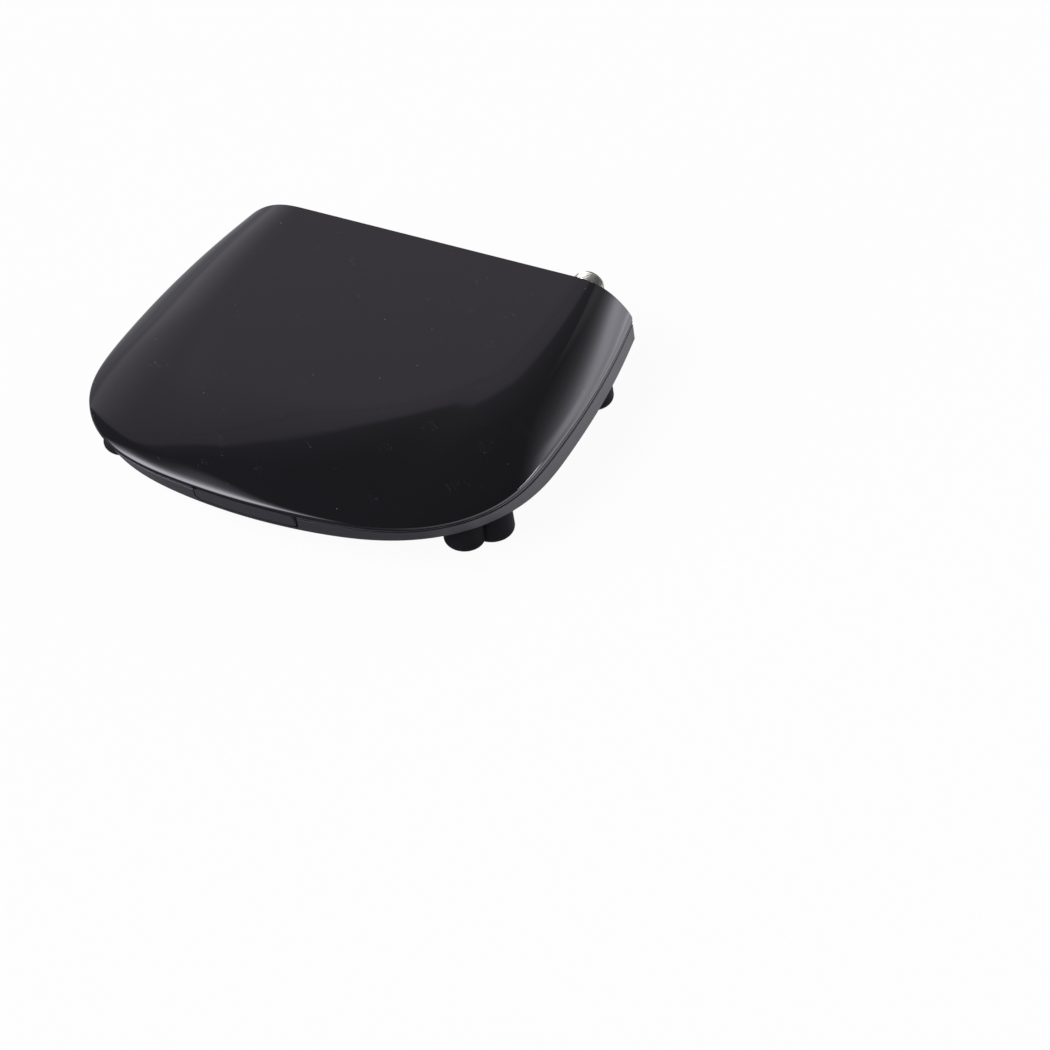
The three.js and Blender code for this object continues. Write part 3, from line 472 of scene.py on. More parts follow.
def piano_black():
    finish = new_finish("piano_black")
    tree = finish[1]
    grain = placed(tree, GRAIN, Pitch=900, Cloud=28)
    dust = placed(tree, DUST, Pitch=300, Size=0.05, Share=0.13)
    scratches = placed(tree, HAIRLINES, Pitch=90, Turn=0.6, Share=0.36)
    scratched = mix_colours(tree, scratches["Mask"], PIANO_BLACK, WIPED_GREY)
    dusty = mix_colours(tree, dust["Mask"], scratched, DUST_GREY)
    return surface(finish, dusty, grain["Cloudiness"], (0.03, 0.075), grain["Height"], 0.02, 0.00002)


def panel_rib(name, edges, low, high):
    left, right = edges
    return block(name, (left, PANEL_RIB_BACK - PANEL_RIB_THICKNESS, low), (right, PANEL_RIB_BACK, high))


def rear_opening(name):
    """The opening that both shells share, with a lip left all round the panel."""
    far = (PAST_CASE["side"], PAST_CASE["rear"], PAST_CASE["top"])
    behind = block(name + "_behind", (-PAST_CASE["side"], -REAR_LIP - 1, 0), far)
    return keep_within(dome(name, COVER_WALL + REAR_LIP_REACH, 1, FLOOR_TOP + REAR_LIP_REACH), behind)


cover = dome("cover_moulding", 0, 0, SEAM_HEIGHT, rounded=True)
carve(cover, dome("cover_hollow", COVER_WALL, -REAR_LIP, FLOOR_TOP), rear_opening("cover_opening"))
bosses = [post("cover_boss", BOSS_RADIUS, place, SEAM_HEIGHT, TOP_HEIGHT) for place in SCREW_PLACES.values()]
join_on(bosses[0], *bosses[1:])
keep_within(bosses[0], dome("cover_middle", COVER_WALL / 2, -REAR_LIP, FLOOR_TOP))
rib_low = TOP_HEIGHT - COVER_WALL - PANEL_RIB_HEIGHT
ribs = [panel_rib("cover_rib", edges, rib_low, TOP_HEIGHT - 1) for edges in PANEL_RIBS]
join_on(cover, bosses[0], *ribs)
carve(cover, *(
    post("cover_hole", SCREW_HOLE_RADIUS, place, SEAM_HEIGHT - 1, SCREW_HOLE_TOP)
    for place in SCREW_PLACES.values()
))
stand_for(cover, piano_black(), "gloss_black", "top_cover", degrees=30)

# Lower shell: a shallow tray of grey-black plastic with a fine matte grain, moulded in one piece with
# its ribbed seam, its vents and the window of the flap. The cover's lip stands on its rim.
GREY = (0.0165, 0.0155, 0.0195)
GRAIN_SHADE = 1.2
BASE_OUTLINE = {"half": 64.5, "side": 332, "bulge": 53.5, "depth": 113.1, "front": 120, "corner": 45}
RIM_TOP = 14.2
RIB_HEIGHT = 0.7
GROOVE_HEIGHT = 0.3
GROOVE_DEPTH = 0.5
EDGE_BREAK = 0.4
LOWER_WALL = 1.8
FIT_GAP = 0.3
LIP_HEIGHT = 1.2
LIP_THICKNESS = 1
BOARD_BOTTOM = 11.6
BOARD_POSTS = four_corners((51.6, -31.6), (30.6, -89)).values()
BOARD_POST_RADIUS = 3
BOARD_SCREW_HOLE = (1.5, 8.8)
PLUG_HOLE = (2.5, 9.7)
VENT_WIDTH = 2
VENT_LENGTH = 15
VENT_PITCH = 4.4
VENTS_AT_EACH_SIDE = 3
VENT_ROWS_AT = (-34.5, -71.3)
FLAP_WINDOW = (-16, 14, 9.2)
WINDOW_FRONT = -116
WINDOW_BACK = -108.3
WINDOW_SILL = -110.64
WINDOW_CORNER = 1.9
FLAP_SWEEP = 2.648
HINGE_PLACE = (11.3, -112.1)
HINGE_EAR_RADIUS = 1.05
HINGE_EAR_LOW = 13.35
HINGE_EAR_REACH = ((10.25, -112.1, 13.35), (11.4, -107.6, 15.7))
HINGE_HOLE = (0.65, 8.6, 14.7)
FLAP_STOP = ((-17, -110.64, 8), (-14.6, -109.64, 13.3))
LIGHT_HOLE = ((15.6, -116, 13), (17.2, -107.3, 13.6))
SOCKET_POCKET = ((-9.85, -110.1, 9), (3.85, -95.5, 15))
AERIAL_PLACE = (42.4, 0, 15.1)
AERIAL_HOLE_RADIUS = 5.05
FOOT_OUTER_PLACES = four_corners((55.9, -20.5), (54.5, -83.2))


def moulded(name, colour, roughness, pitch=6500, strength=0.25, shine=0.5):
    """Moulded plastic: its colour, with a grain that catches the light and wide dull clouds."""
    finish = new_finish(name)
    tree, shader = finish[1:]
    shader.inputs["Specular IOR Level"].default_value = shine
    grain = placed(tree, GRAIN, Pitch=pitch, Cloud=45)
    dark = [c / GRAIN_SHADE for c in colour]
    pale = [c * GRAIN_SHADE for c in colour]
    grained = mix_colours(tree, grain["Height"], dark, pale)
    dullness = (roughness - 0.06, roughness + 0.06)
    return surface(finish, grained, grain["Cloudiness"], dullness, grain["Height"], strength)


def shell_ring(height, inset=0, share=None, rear=0):
    """The tray's outline at a height, on its lean from the base out to the seam."""
    if share is None:
        share = (height - FOOT_HEIGHT) / (SEAM_HEIGHT - FOOT_HEIGHT)
    base = outline(BASE_OUTLINE, inset, rear)
    seam = outline(SEAM_OUTLINE, inset, rear)
    level = [low.lerp(high, share) for low, high in zip(base, seam)]
    return [Vector((p.x, p.y, height)) for p in level]


def tray_outside():
    rib_bottom = RIM_TOP - RIB_HEIGHT
    return skin_over("bottom_shell_moulding", [
        shell_ring(FOOT_HEIGHT, EDGE_BREAK, 0),
        shell_ring(FOOT_HEIGHT + EDGE_BREAK),
        shell_ring(rib_bottom - GROOVE_HEIGHT * 2),
        shell_ring(rib_bottom - GROOVE_HEIGHT, GROOVE_DEPTH),
        shell_ring(rib_bottom, GROOVE_DEPTH),
        shell_ring(rib_bottom + GROOVE_HEIGHT / 2),
        shell_ring(RIM_TOP, 0, 1),
    ])


def cover_lip():
    """The upright lip that the cover slips over, cut back where the cover's bosses come down."""
    near = (-PAST_CASE["side"], PAST_CASE["front"], SEAM_HEIGHT - LIP_HEIGHT)
    band = block("lip_band", near, (PAST_CASE["side"], 0, SEAM_HEIGHT + LIP_HEIGHT))
    outside = keep_within(dome("lip_outside", COVER_WALL + FIT_GAP, PANEL_RIB_BACK, FLOOR_TOP), band)
    ends = (SEAM_HEIGHT - LIP_HEIGHT, RIM_TOP)
    rim = skin_over("lip_rim", [shell_ring(z, LOWER_WALL / 2, 1, PANEL_RIB_BACK) for z in ends])
    return carve(
        join_on(rim, outside),
        dome("lip_inside", COVER_WALL + FIT_GAP + LIP_THICKNESS, 1, FLOOR_TOP),
        *(post("lip_gap", BOSS_RADIUS + FIT_GAP, at, RIM_TOP, TOP_HEIGHT) for at in SCREW_PLACES.values()),
    )


def flap_window():
    """The room that the flap and its hinge need in the front wall."""
    left, right, low = FLAP_WINDOW
    bm = bmesh.new()
    bmesh.ops.create_cube(bm, size=1)
    bmesh.ops.scale(bm, vec=(right - left, WINDOW_BACK - WINDOW_FRONT, RIM_TOP - low), verts=bm.verts[:])
    under = [e for e in bm.edges if all(v.co.z < 0 for v in e.verts) and e.verts[0].co.x == e.verts[1].co.x]
    ease(bm, under, WINDOW_CORNER, 8)
    centre = ((left + right) / 2, (WINDOW_FRONT + WINDOW_BACK) / 2, (low + RIM_TOP) / 2)
    bmesh.ops.translate(bm, vec=centre, verts=bm.verts[:])
    window = drawn("flap_window", bm)
    above = (left, WINDOW_FRONT, RIM_TOP - FIT_GAP), (right, WINDOW_SILL, SEAM_HEIGHT + 1)
    end = post("flap_window_end", FLAP_SWEEP, HINGE_PLACE, low, RIM_TOP)
    return join_on(window, block("flap_window_top", *above), end)


grey_plastic = moulded("grey_plastic", GREY, 0.4, shine=0.32)
shell = tray_outside()
hollow = [shell_ring(z, LOWER_WALL, share, -REAR_LIP) for z, share in ((FLOOR_TOP, 0), (SEAM_HEIGHT + 1, 1))]
carve(shell, skin_over("shell_hollow", hollow), rear_opening("shell_opening"))
join_on(
    shell,
    cover_lip(),
    *(post("shell_boss", BOSS_RADIUS, place, FOOT_HEIGHT, RIM_TOP) for place in SCREW_PLACES.values()),
    *(post("board_post", BOARD_POST_RADIUS, place, FOOT_HEIGHT, BOARD_BOTTOM) for place in BOARD_POSTS),
    *(panel_rib("shell_rib", edges, FOOT_HEIGHT, FLOOR_TOP + PANEL_RIB_HEIGHT) for edges in PANEL_RIBS),
)
vents = []
for y in VENT_ROWS_AT:
    for row in range(-VENTS_AT_EACH_SIDE, VENTS_AT_EACH_SIDE + 1):
        x = row * VENT_PITCH
        low = (x - VENT_WIDTH / 2, y - VENT_LENGTH / 2, 0)
        vents.append(block("vent", low, (x + VENT_WIDTH / 2, y + VENT_LENGTH / 2, FLOOR_TOP + 1)))
carve(
    shell,
    *(post("screw_hole", SCREW_HOLE_RADIUS, place, 0, TOP_HEIGHT) for place in SCREW_PLACES.values()),
    *(post("plug_hole", PLUG_HOLE[0], place, 0, PLUG_HOLE[1]) for place in FOOT_OUTER_PLACES.values()),
    *(post("board_screw_hole", BOARD_SCREW_HOLE[0], place, BOARD_SCREW_HOLE[1], TOP_HEIGHT)
      for place in BOARD_POSTS),
    *vents,
    flap_window(),
)
ear_reach = block("hinge_ear_reach", *HINGE_EAR_REACH)
keep_within(ear_reach, dome("hinge_ear_limit", COVER_WALL + FIT_GAP, 0, FOOT_HEIGHT))
join_on(
    shell,
    post("hinge_ear", HINGE_EAR_RADIUS, HINGE_PLACE, HINGE_EAR_LOW, RIM_TOP),
    ear_reach,
    block("flap_stop", *FLAP_STOP),
)
aerial_across_and_up = (AERIAL_PLACE[0], AERIAL_PLACE[2])
carve(
    shell,
    post("aerial_hole", AERIAL_HOLE_RADIUS, aerial_across_and_up, -REAR_LIP - 1, 1, outwards=True),
    post("hinge_hole", HINGE_HOLE[0], HINGE_PLACE, *HINGE_HOLE[1:]),
    block("light_hole", *LIGHT_HOLE),
    block("socket_pocket", *SOCKET_POCKET),
)
stand_for(shell, grey_plastic, "matte_grey", "bottom_shell", degrees=25)

# Front flap: a small door of the same grey plastic over the service socket. It swings on two moulded
# pins at its right end, and a fingernail goes in at the notch on its left.
SOLID_WELD = 0.002
FLAT_WITHIN = 0.1


def finished_copy(node, suffix, slot, finish, body="case", degrees=30, rounding=0, steps=2):
    """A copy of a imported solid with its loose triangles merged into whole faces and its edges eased."""
    piece = put_in(node + suffix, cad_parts[node].data.copy())
    bm = bmesh.new()
    bm.from_mesh(piece.data)
    bmesh.ops.remove_doubles(bm, verts=bm.verts[:], dist=SOLID_WELD * MM)
    bmesh.ops.dissolve_limit(
        bm, angle_limit=math.radians(FLAT_WITHIN), use_dissolve_boundaries=False,
        verts=bm.verts[:], edges=bm.edges[:],
    )
    if rounding:
        sharp = [e for e in bm.edges if e.calc_face_angle(0) > math.radians(degrees)]
        ease(bm, sharp, rounding * MM, steps)
    bm.to_mesh(piece.data)
    bm.free()
    return stand_for(piece, finish, slot, node, body=body, degrees=degrees)


finished_copy("usb_flap", "_moulding", "matte_grey", grey_plastic, body="flap")

# Feet: soft black rubber, each moulded as two round lobes run together. A short plug presses the outer
# lobe into the tray, and the inner one hides a case screw at the bottom of a well.
FOOT_RADIUS = 6.2
FOOT_INNER_RADIUS = 5.5
FOOT_WAIST = 0.8
FOOT_ROUND = 2
FOOT_ROUND_STEPS = 10
PLUG_RADIUS = 2.2
PLUG_HEIGHT = 1.4
SCREW_WELL_RADIUS = 3
SCREW_WELL_TOP = 4


def turned(name, profile, place, outwards=False, sides=64, wave=None):
    """A profile of (radius, height) pairs spun about an upright axis, or one that points out of the rear."""
    bm = bmesh.new()
    loop = [bm.verts.new((radius, 0, height)) for radius, height in profile]
    edges = [bm.edges.new(pair) for pair in zip(loop, loop[1:])]
    bmesh.ops.spin(
        bm, geom=loop + edges, cent=(0, 0, 0), axis=(0, 0, 1), dvec=(0, 0, 0),
        angle=math.tau, steps=sides, use_merge=True,
    )
    if wave:
        for vert in bm.verts:
            wave(vert)
    if outwards:
        lay_back(bm)
    bmesh.ops.translate(bm, vec=place, verts=bm.verts[:])
    return drawn(name, bm)


def foot_lobe(name, radius, place):
    rounding = []
    for i in range(FOOT_ROUND_STEPS + 1):
        angle = math.pi / 2 * i / FOOT_ROUND_STEPS
        rounding.append((radius - FOOT_ROUND * (1 - math.sin(angle)), FOOT_ROUND * (1 - math.cos(angle))))
    profile = [(0, 0), *rounding, (radius - FOOT_WAIST, FOOT_HEIGHT), (0, FOOT_HEIGHT)]
    return turned(name, profile, (*place, 0))


rubber = moulded("foot_rubber", (0.0035, 0.003, 0.0045), 0.8, 4000, shine=0.2)
for corner, outer in FOOT_OUTER_PLACES.items():
    inner = SCREW_PLACES[corner]
    foot = foot_lobe("foot_" + corner + "_rubber", FOOT_RADIUS, outer)
    join_on(
        foot,
        foot_lobe("foot_inner", FOOT_INNER_RADIUS, inner),
        post("foot_plug", PLUG_RADIUS, outer, FOOT_HEIGHT - 1, FOOT_HEIGHT + PLUG_HEIGHT),
    )
    carve(
        foot,
        post("foot_well", SCREW_WELL_RADIUS, inner, -1, SCREW_WELL_TOP),
        post("foot_hole", SCREW_HOLE_RADIUS, inner, -1, FOOT_HEIGHT + 1),
    )
    stand_for(foot, rubber, "foot_rubber", "foot_" + corner, degrees=40)

# Screws: plated steel with pan heads and a cross drive. Four long ones hold the case together from
# below through the feet, and four short ones hold the board on its posts.


def metal(name, colour, roughness):
    """Bare or plated metal, a little duller and darker in places."""
    finish = new_finish(name)
    tree, shader = finish[1:]
    shader.inputs["Metallic"].default_value = 1
    grain = placed(tree, GRAIN, Pitch=1200, Cloud=160)
    spotted = mix_colours(tree, grain["Cloudiness"], colour, [c * 0.85 for c in colour])
    dullness = (roughness - 0.06, roughness + 0.1)
    return surface(finish, spotted, grain["Cloudiness"], dullness, grain["Height"], 0.15)


screw_steel = metal("screw_steel", (0.42, 0.42, 0.43), 0.35)
for node in [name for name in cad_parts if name.startswith(("case_screw_", "board_screw_"))]:
    finished_copy(node, "_plated", "screw_steel", screw_steel, degrees=50)

# Rear panel: a thin black moulded plate that stands in a groove between both shells, with an opening for
# each socket.
finished_copy("rear_panel", "_plate", "panel_black", moulded("panel_black", (0.014, 0.014, 0.016), 0.5))

# Aerial socket: a turned and nickel-plated brass barrel with a rolled 3/8-32 thread, which is swaged into
# a die-cast block on the board. White insulation inside it holds the spring contact.
BARREL_BACK = -4.7
BARREL_FLANGE = 4.9
BARREL_FACE = -3
BARREL_END = 10.4
BARREL_BORE = 3.6
THREAD_RADIUS = 4.75
THREAD_ROOT = 4.2
THREAD_FROM = 1.6
THREAD_TO = 9.9
THREAD_PITCH = 0.794
THREAD_RINGS_PER_TURN = 10
EDGE = 0.25
INSULATION_PROFILE = [(0.8, 0.3), (3.3, 0.3), (3.3, 9.9), (3.1, 10.1), (1.5, 10.1), (0.8, 9.5), (0.8, 0.3)]
CONTACT_PROFILE = [(0, 0.3), (0.5, 0.3), (0.5, 8.9), (0.42, 9.1), (0.25, 9.2), (0, 9.2)]


def cut_thread(vert):
    """Moves the skin of the threaded length out and in along a screw line."""
    radius = math.hypot(vert.co.x, vert.co.y)
    if radius < THREAD_ROOT - EDGE / 5 or not THREAD_FROM < vert.co.z < THREAD_TO:
        return
    turn = vert.co.z / THREAD_PITCH - math.atan2(vert.co.y, vert.co.x) / math.tau
    fade = min(1, (vert.co.z - THREAD_FROM) / THREAD_PITCH, (THREAD_TO - vert.co.z) / THREAD_PITCH)
    crest = 0.5 - 0.5 * math.cos(math.tau * turn)
    skin = THREAD_ROOT + (THREAD_RADIUS - THREAD_ROOT) * fade * crest
    vert.co.x *= skin / radius
    vert.co.y *= skin / radius


thread_rings = round((THREAD_TO - THREAD_FROM) / THREAD_PITCH * THREAD_RINGS_PER_TURN)
thread_line = [
    (THREAD_ROOT, THREAD_FROM + (THREAD_TO - THREAD_FROM) * i / thread_rings) for i in range(thread_rings + 1)
]
barrel_profile = [
    (0, BARREL_BACK),
    (BARREL_FLANGE - EDGE, BARREL_BACK),
    (BARREL_FLANGE, BARREL_BACK + EDGE),
    (BARREL_FLANGE, BARREL_FACE - EDGE),
    (BARREL_FLANGE - EDGE, BARREL_FACE),
    (THREAD_ROOT, BARREL_FACE),
    *thread_line,
    (THREAD_ROOT, BARREL_END - EDGE),
    (THREAD_ROOT - EDGE, BARREL_END),
    (BARREL_BORE + EDGE / 2, BARREL_END),
    (BARREL_BORE, BARREL_END - EDGE / 2),
    (BARREL_BORE, 0),
    (0, 0),
]


def turned_metal(name, colour, roughness):
    """Plated metal with the faint rings that turning leaves."""
    finish = new_finish(name)
    tree, shader = finish[1:]
    shader.inputs["Metallic"].default_value = 1
    place = object_place(tree)
    along = fitted(tree, "ShaderNodeMapping", {"Vector": place, "Scale": (0.02, 1, 0.02)})
    rings = fitted(tree, "ShaderNodeTexNoise", {"Vector": along.outputs["Vector"], "Scale": 14000})
    grain = placed(tree, GRAIN, Pitch=1500, Cloud=300)
    spotted = mix_colours(tree, grain["Cloudiness"], colour, [c * 0.8 for c in colour])
    dullness = (roughness - 0.05, roughness + 0.12)
    return surface(finish, spotted, grain["Cloudiness"], dullness, rings.outputs["Fac"], 0.25)


def thread_metal(name, colour, roughness, root_painted_shade):
    """Plated metal with painted shade: darker, and also duller, in the roots of the thread."""
    finish = new_finish(name)
    tree, shader = finish[1:]
    shader.inputs["Metallic"].default_value = 1
    place = object_place(tree)
    back_to_axis = (-AERIAL_PLACE[0] * MM, 0, -AERIAL_PLACE[2] * MM)
    inputs = {"Vector": place, "Location": back_to_axis, "Scale": (1, 0, 1)}
    from_axis = fitted(tree, "ShaderNodeMapping", inputs).outputs["Vector"]
    out_from_axis = fitted(tree, "ShaderNodeVectorMath", {0: from_axis}, operation="LENGTH")
    low, high = (THREAD_ROOT + EDGE / 5) * MM, (THREAD_RADIUS - EDGE / 2) * MM
    height = spread(tree, out_from_axis.outputs["Value"], 0, 1, low, high)
    grain = placed(tree, GRAIN, Pitch=1500, Cloud=300)
    spotted = mix_colours(tree, grain["Cloudiness"], colour, [c * 0.8 for c in colour])
    # Painted shade: the roots of the thread take a darker copy of the colour, and the crests the plain one.
    ridged = mix_colours(tree, height, [c * root_painted_shade for c in colour], spotted)
    return surface(finish, ridged, height, (roughness + 0.25, roughness), grain["Height"], 0.15)


barrel = turned(
    "aerial_barrel_turned", barrel_profile, AERIAL_PLACE, outwards=True, sides=96, wave=cut_thread
)
thread_nickel = thread_metal("nickel_thread", (0.64, 0.63, 0.54), 0.34, 0.12)
stand_for(barrel, thread_nickel, "nickel", "aerial_barrel", degrees=50)
nickel = turned_metal("nickel_plate", (0.58, 0.56, 0.5), 0.25)
white_plastic = moulded("white_plastic", (0.75, 0.74, 0.7), 0.45)
insulation = turned("aerial_insulation", INSULATION_PROFILE, AERIAL_PLACE, outwards=True)
stand_for(insulation, white_plastic, "white_plastic", "aerial_insulator", degrees=40)
brass = turned_metal("contact_brass", (0.7, 0.45, 0.14), 0.2)
contact = turned("aerial_spring_contact", CONTACT_PROFILE, AERIAL_PLACE, outwards=True, sides=32)
stand_for(contact, brass, "contact_brass", "aerial_contact", degrees=50)
zinc = metal("zinc_casting", (0.3, 0.3, 0.3), 0.5)
finished_copy("aerial_block", "_casting", "zinc_dark", zinc, rounding=0.5, steps=3)

# Sockets: the digital sound socket is a turned collar round orange insulation, the picture socket is
# folded from sheet tin round a tongue with nineteen gilt contacts, and the others are black mouldings.
SOUND_PLACE = (24.58, 0, 15.8)
COLLAR_RADIUS = 4.15
COLLAR_WALL = 0.6
COLLAR_END = 4
COLLAR_ROUND = ((0, 0.3), (0.09, 0.09), (0.3, 0), (0.51, 0.09), (0.6, 0.3))
PANEL_FRONT = -2.7
PICTURE_ACROSS = 3.437
PICTURE_LOW = 13.2
PICTURE_TOP = 19
PICTURE_HALF_WIDTH = 7.5
PICTURE_SLANT = 1.4
PICTURE_CORNER = 0.6
PICTURE_FACE = -0.2
PICTURE_LENGTH = 11.5
SHEET = 0.4
TONGUE_HALF_HEIGHT = 0.5
TONGUE_FACE = -1.4
CONTACT_PITCH = 1
CONTACT_HALF_WIDTH = 0.2
CONTACT_HALF_THICKNESS = 0.06
CONTACT_FRONT = -7
CORE_PROFILE = [(0, -2.7), (3.1, -2.7), (3.1, 3.2), (2.9, 3.4), (1.95, 3.4), (1.65, 3.1), (1.65, 0), (0, 0)]
POWER_PIN_PLACE = (-40.5, 0, 15.8)
POWER_PIN_PROFILE = [(0, -8.6), (1.05, -8.6), (1.05, -1.5), (0.9, -1.2), (0.6, -1.1), (0, -1.1)]

orange_plastic = moulded("orange_plastic", (0.55, 0.13, 0.012), 0.45)
tin = metal("tin_plate", (0.6, 0.61, 0.62), 0.33)
black_plastic = moulded("black_plastic", (0.01, 0.01, 0.01), 0.45)

collar_profile = [
    (COLLAR_RADIUS - COLLAR_WALL, PANEL_FRONT),
    (COLLAR_RADIUS, PANEL_FRONT),
    *((COLLAR_RADIUS - inwards, COLLAR_END - short) for inwards, short in COLLAR_ROUND),
    (COLLAR_RADIUS - COLLAR_WALL, PANEL_FRONT),
]
collar = turned("coax_collar", collar_profile, SOUND_PLACE, outwards=True)
stand_for(collar, nickel, "nickel", "coax_ring", degrees=50)
core = turned("coax_core", CORE_PROFILE, SOUND_PLACE, outwards=True)
stand_for(core, orange_plastic, "orange_plastic", "coax_insulator", degrees=40)
finished_copy("coax_body", "_housing", "orange_plastic", orange_plastic, rounding=0.4, steps=3)


def folded_sleeve(name):
    """A sheet-metal sleeve with slanted lower corners, open at the rear and closed in front."""
    bm = bmesh.new()
    left, right = PICTURE_ACROSS - PICTURE_HALF_WIDTH, PICTURE_ACROSS + PICTURE_HALF_WIDTH
    low, top, slant = PICTURE_LOW, PICTURE_TOP, PICTURE_SLANT
    corners = (
        (left, top), (right, top), (right, low + slant),
        (right - slant, low), (left + slant, low), (left, low + slant),
    )
    loop = [bm.verts.new((x, PICTURE_FACE, z)) for x, z in corners]
    bm.faces.new(loop)
    ease(bm, loop, PICTURE_CORNER, 4, "VERTICES")
    mouth = bm.faces[:]
    back = bmesh.ops.extrude_face_region(bm, geom=mouth)["geom"]
    bmesh.ops.translate(bm, vec=(0, -PICTURE_LENGTH, 0), verts=points_of(back))
    bmesh.ops.inset_region(bm, faces=mouth, thickness=SHEET, use_even_offset=True)
    sunk = bmesh.ops.extrude_face_region(bm, geom=mouth)["geom"]
    bmesh.ops.delete(bm, geom=mouth, context="FACES_ONLY")
    bmesh.ops.translate(bm, vec=(0, SHEET - PICTURE_LENGTH, 0), verts=points_of(sunk))
    return drawn(name, bm)


stand_for(folded_sleeve("picture_socket_sleeve"), tin, "tin", "hdmi_shell", degrees=30)
finished_copy("hdmi_tongue", "_moulding", "black_plastic", black_plastic, rounding=0.1)
middle = (PICTURE_LOW + PICTURE_TOP) / 2
for side, count in ((1, 10), (-1, 9)):
    strips = []
    for i in range(count):
        x = PICTURE_ACROSS + (i - (count - 1) / 2) * CONTACT_PITCH
        centre = middle + side * (TONGUE_HALF_HEIGHT + 0.02)
        low = (x - CONTACT_HALF_WIDTH, CONTACT_FRONT, centre - CONTACT_HALF_THICKNESS)
        high = (x + CONTACT_HALF_WIDTH, TONGUE_FACE - 0.3, centre + CONTACT_HALF_THICKNESS)
        strips.append(block("contact_strip", low, high, CONTACT_HALF_THICKNESS / 2, 1))
    row = join_on(strips[0], *strips[1:])
    row.name = "picture_socket_contacts_above" if side > 0 else "picture_socket_contacts_below"
    stand_for(row, brass, "contact_brass", degrees=40)

for node in ("av_jack", "infrared_jack"):
    finished_copy(node, "_moulding", "black_plastic", black_plastic, rounding=0.18)
finished_copy("power_jack", "_moulding", "black_plastic", black_plastic, rounding=0.25, steps=3)
pin = turned("power_pin_turned", POWER_PIN_PROFILE, POWER_PIN_PLACE, outwards=True, sides=40)
stand_for(pin, nickel, "nickel", "power_pin", degrees=50)

# Main board: green glass-fibre board with copper tracks under the solder resist. The tuner stands under
# a tin lid, the main chip under a black finned heatsink, and cans, coils and chips stand round them.
TRACK_PITCH = 420
TRACK_WIDTH = 0.09
TRACK_GREEN = (0.02, 0.15, 0.055)
RESIST_GREEN = (0.008, 0.075, 0.026)
SPOT_TIN = (0.5, 0.5, 0.48)


def board_finish():
    """Solder resist over a net of copper tracks, with small tinned spots."""
    finish = new_finish("board_green")
    tree, shader = finish[1:]
    inputs = {"Vector": object_place(tree), "Scale": TRACK_PITCH}
    tracks = fitted(tree, "ShaderNodeTexVoronoi", inputs, feature="DISTANCE_TO_EDGE")
    track = worked(tree, "LESS_THAN", tracks.outputs["Distance"], TRACK_WIDTH)
    resist = mix_colours(tree, track, RESIST_GREEN, TRACK_GREEN)
    spots = placed(tree, DUST, Pitch=520, Size=0.16, Share=0.12)
    tinned = mix_colours(tree, spots["Mask"], resist, SPOT_TIN)
    tree.links.new(spots["Mask"], shader.inputs["Metallic"])
    grain = placed(tree, GRAIN, Pitch=1400, Cloud=90)
    return surface(finish, tinned, grain["Cloudiness"], (0.25, 0.4), track, 0.5, 0.00003)


chip_black = moulded("chip_black", (0.014, 0.015, 0.017), 0.6)
aluminium = turned_metal("can_aluminium", (0.6, 0.61, 0.62), 0.28)
sink_black = metal("heatsink_black", (0.03, 0.03, 0.033), 0.5)
pad_grey = moulded("pad_grey", (0.27, 0.28, 0.3), 0.7)
finished_copy("main_board", "_laminate", "board_green", board_finish())
for slot, finish, rounding, *nodes in (
    ("tin", tin, 0, "tuner_frame"),
    ("tin", tin, 0.2, "tuner_lid"),
    ("chip_black", chip_black, 0.15, "main_chip"),
    ("pad_grey", pad_grey, 0.1, "thermal_pad"),
    ("heatsink_black", sink_black, 0.15, "heatsink"),
    ("chip_black", chip_black, 0.12, "memory_chip", "flash_chip", "power_chip"),
    ("tin", tin, 0.9, "crystal"),
    ("chip_black", chip_black, 0.3, "inductor_1", "inductor_2"),
    ("can_aluminium", aluminium, 0, "capacitor_1", "capacitor_2", "capacitor_3", "capacitor_4"),
):
    for node in nodes:
        finished_copy(node, "_part", slot, finish, degrees=50, rounding=rounding)

# Behind the flap: the service socket's tin sleeve with its white tongue, the smoked eye for the remote
# signal, and the clear rod that carries the light of the small lamp to the slot beside the flap.


def clear_rod():
    finish, tree, shader = new_finish("clear_plastic")
    shader.inputs["IOR"].default_value = 1.49
    shader.inputs["Transmission Weight"].default_value = 1
    clouds = placed(tree, GRAIN, Pitch=1500, Cloud=400)["Cloudiness"]
    tint = mix_colours(tree, clouds, (0.9, 0.93, 0.95), (0.8, 0.85, 0.88))
    tree.links.new(tint, shader.inputs["Base Color"])
    tree.links.new(spread(tree, clouds, 0.05, 0.15), shader.inputs["Roughness"])
    return finish


finished_copy("usb_shell", "_sleeve", "tin", tin, rounding=0.08)
finished_copy("usb_tongue", "_moulding", "white_plastic", white_plastic, rounding=0.15)
smoked = moulded("smoked_plastic", (0.02, 0.006, 0.01), 0.12, strength=0.05)
finished_copy("remote_eye", "_lens", "smoked_plastic", smoked, degrees=45)
finished_copy("light_guide", "_rod", "clear_plastic", clear_rod(), rounding=0.06)
finished_copy("status_lamp", "_body", "white_plastic", white_plastic, rounding=0.15)

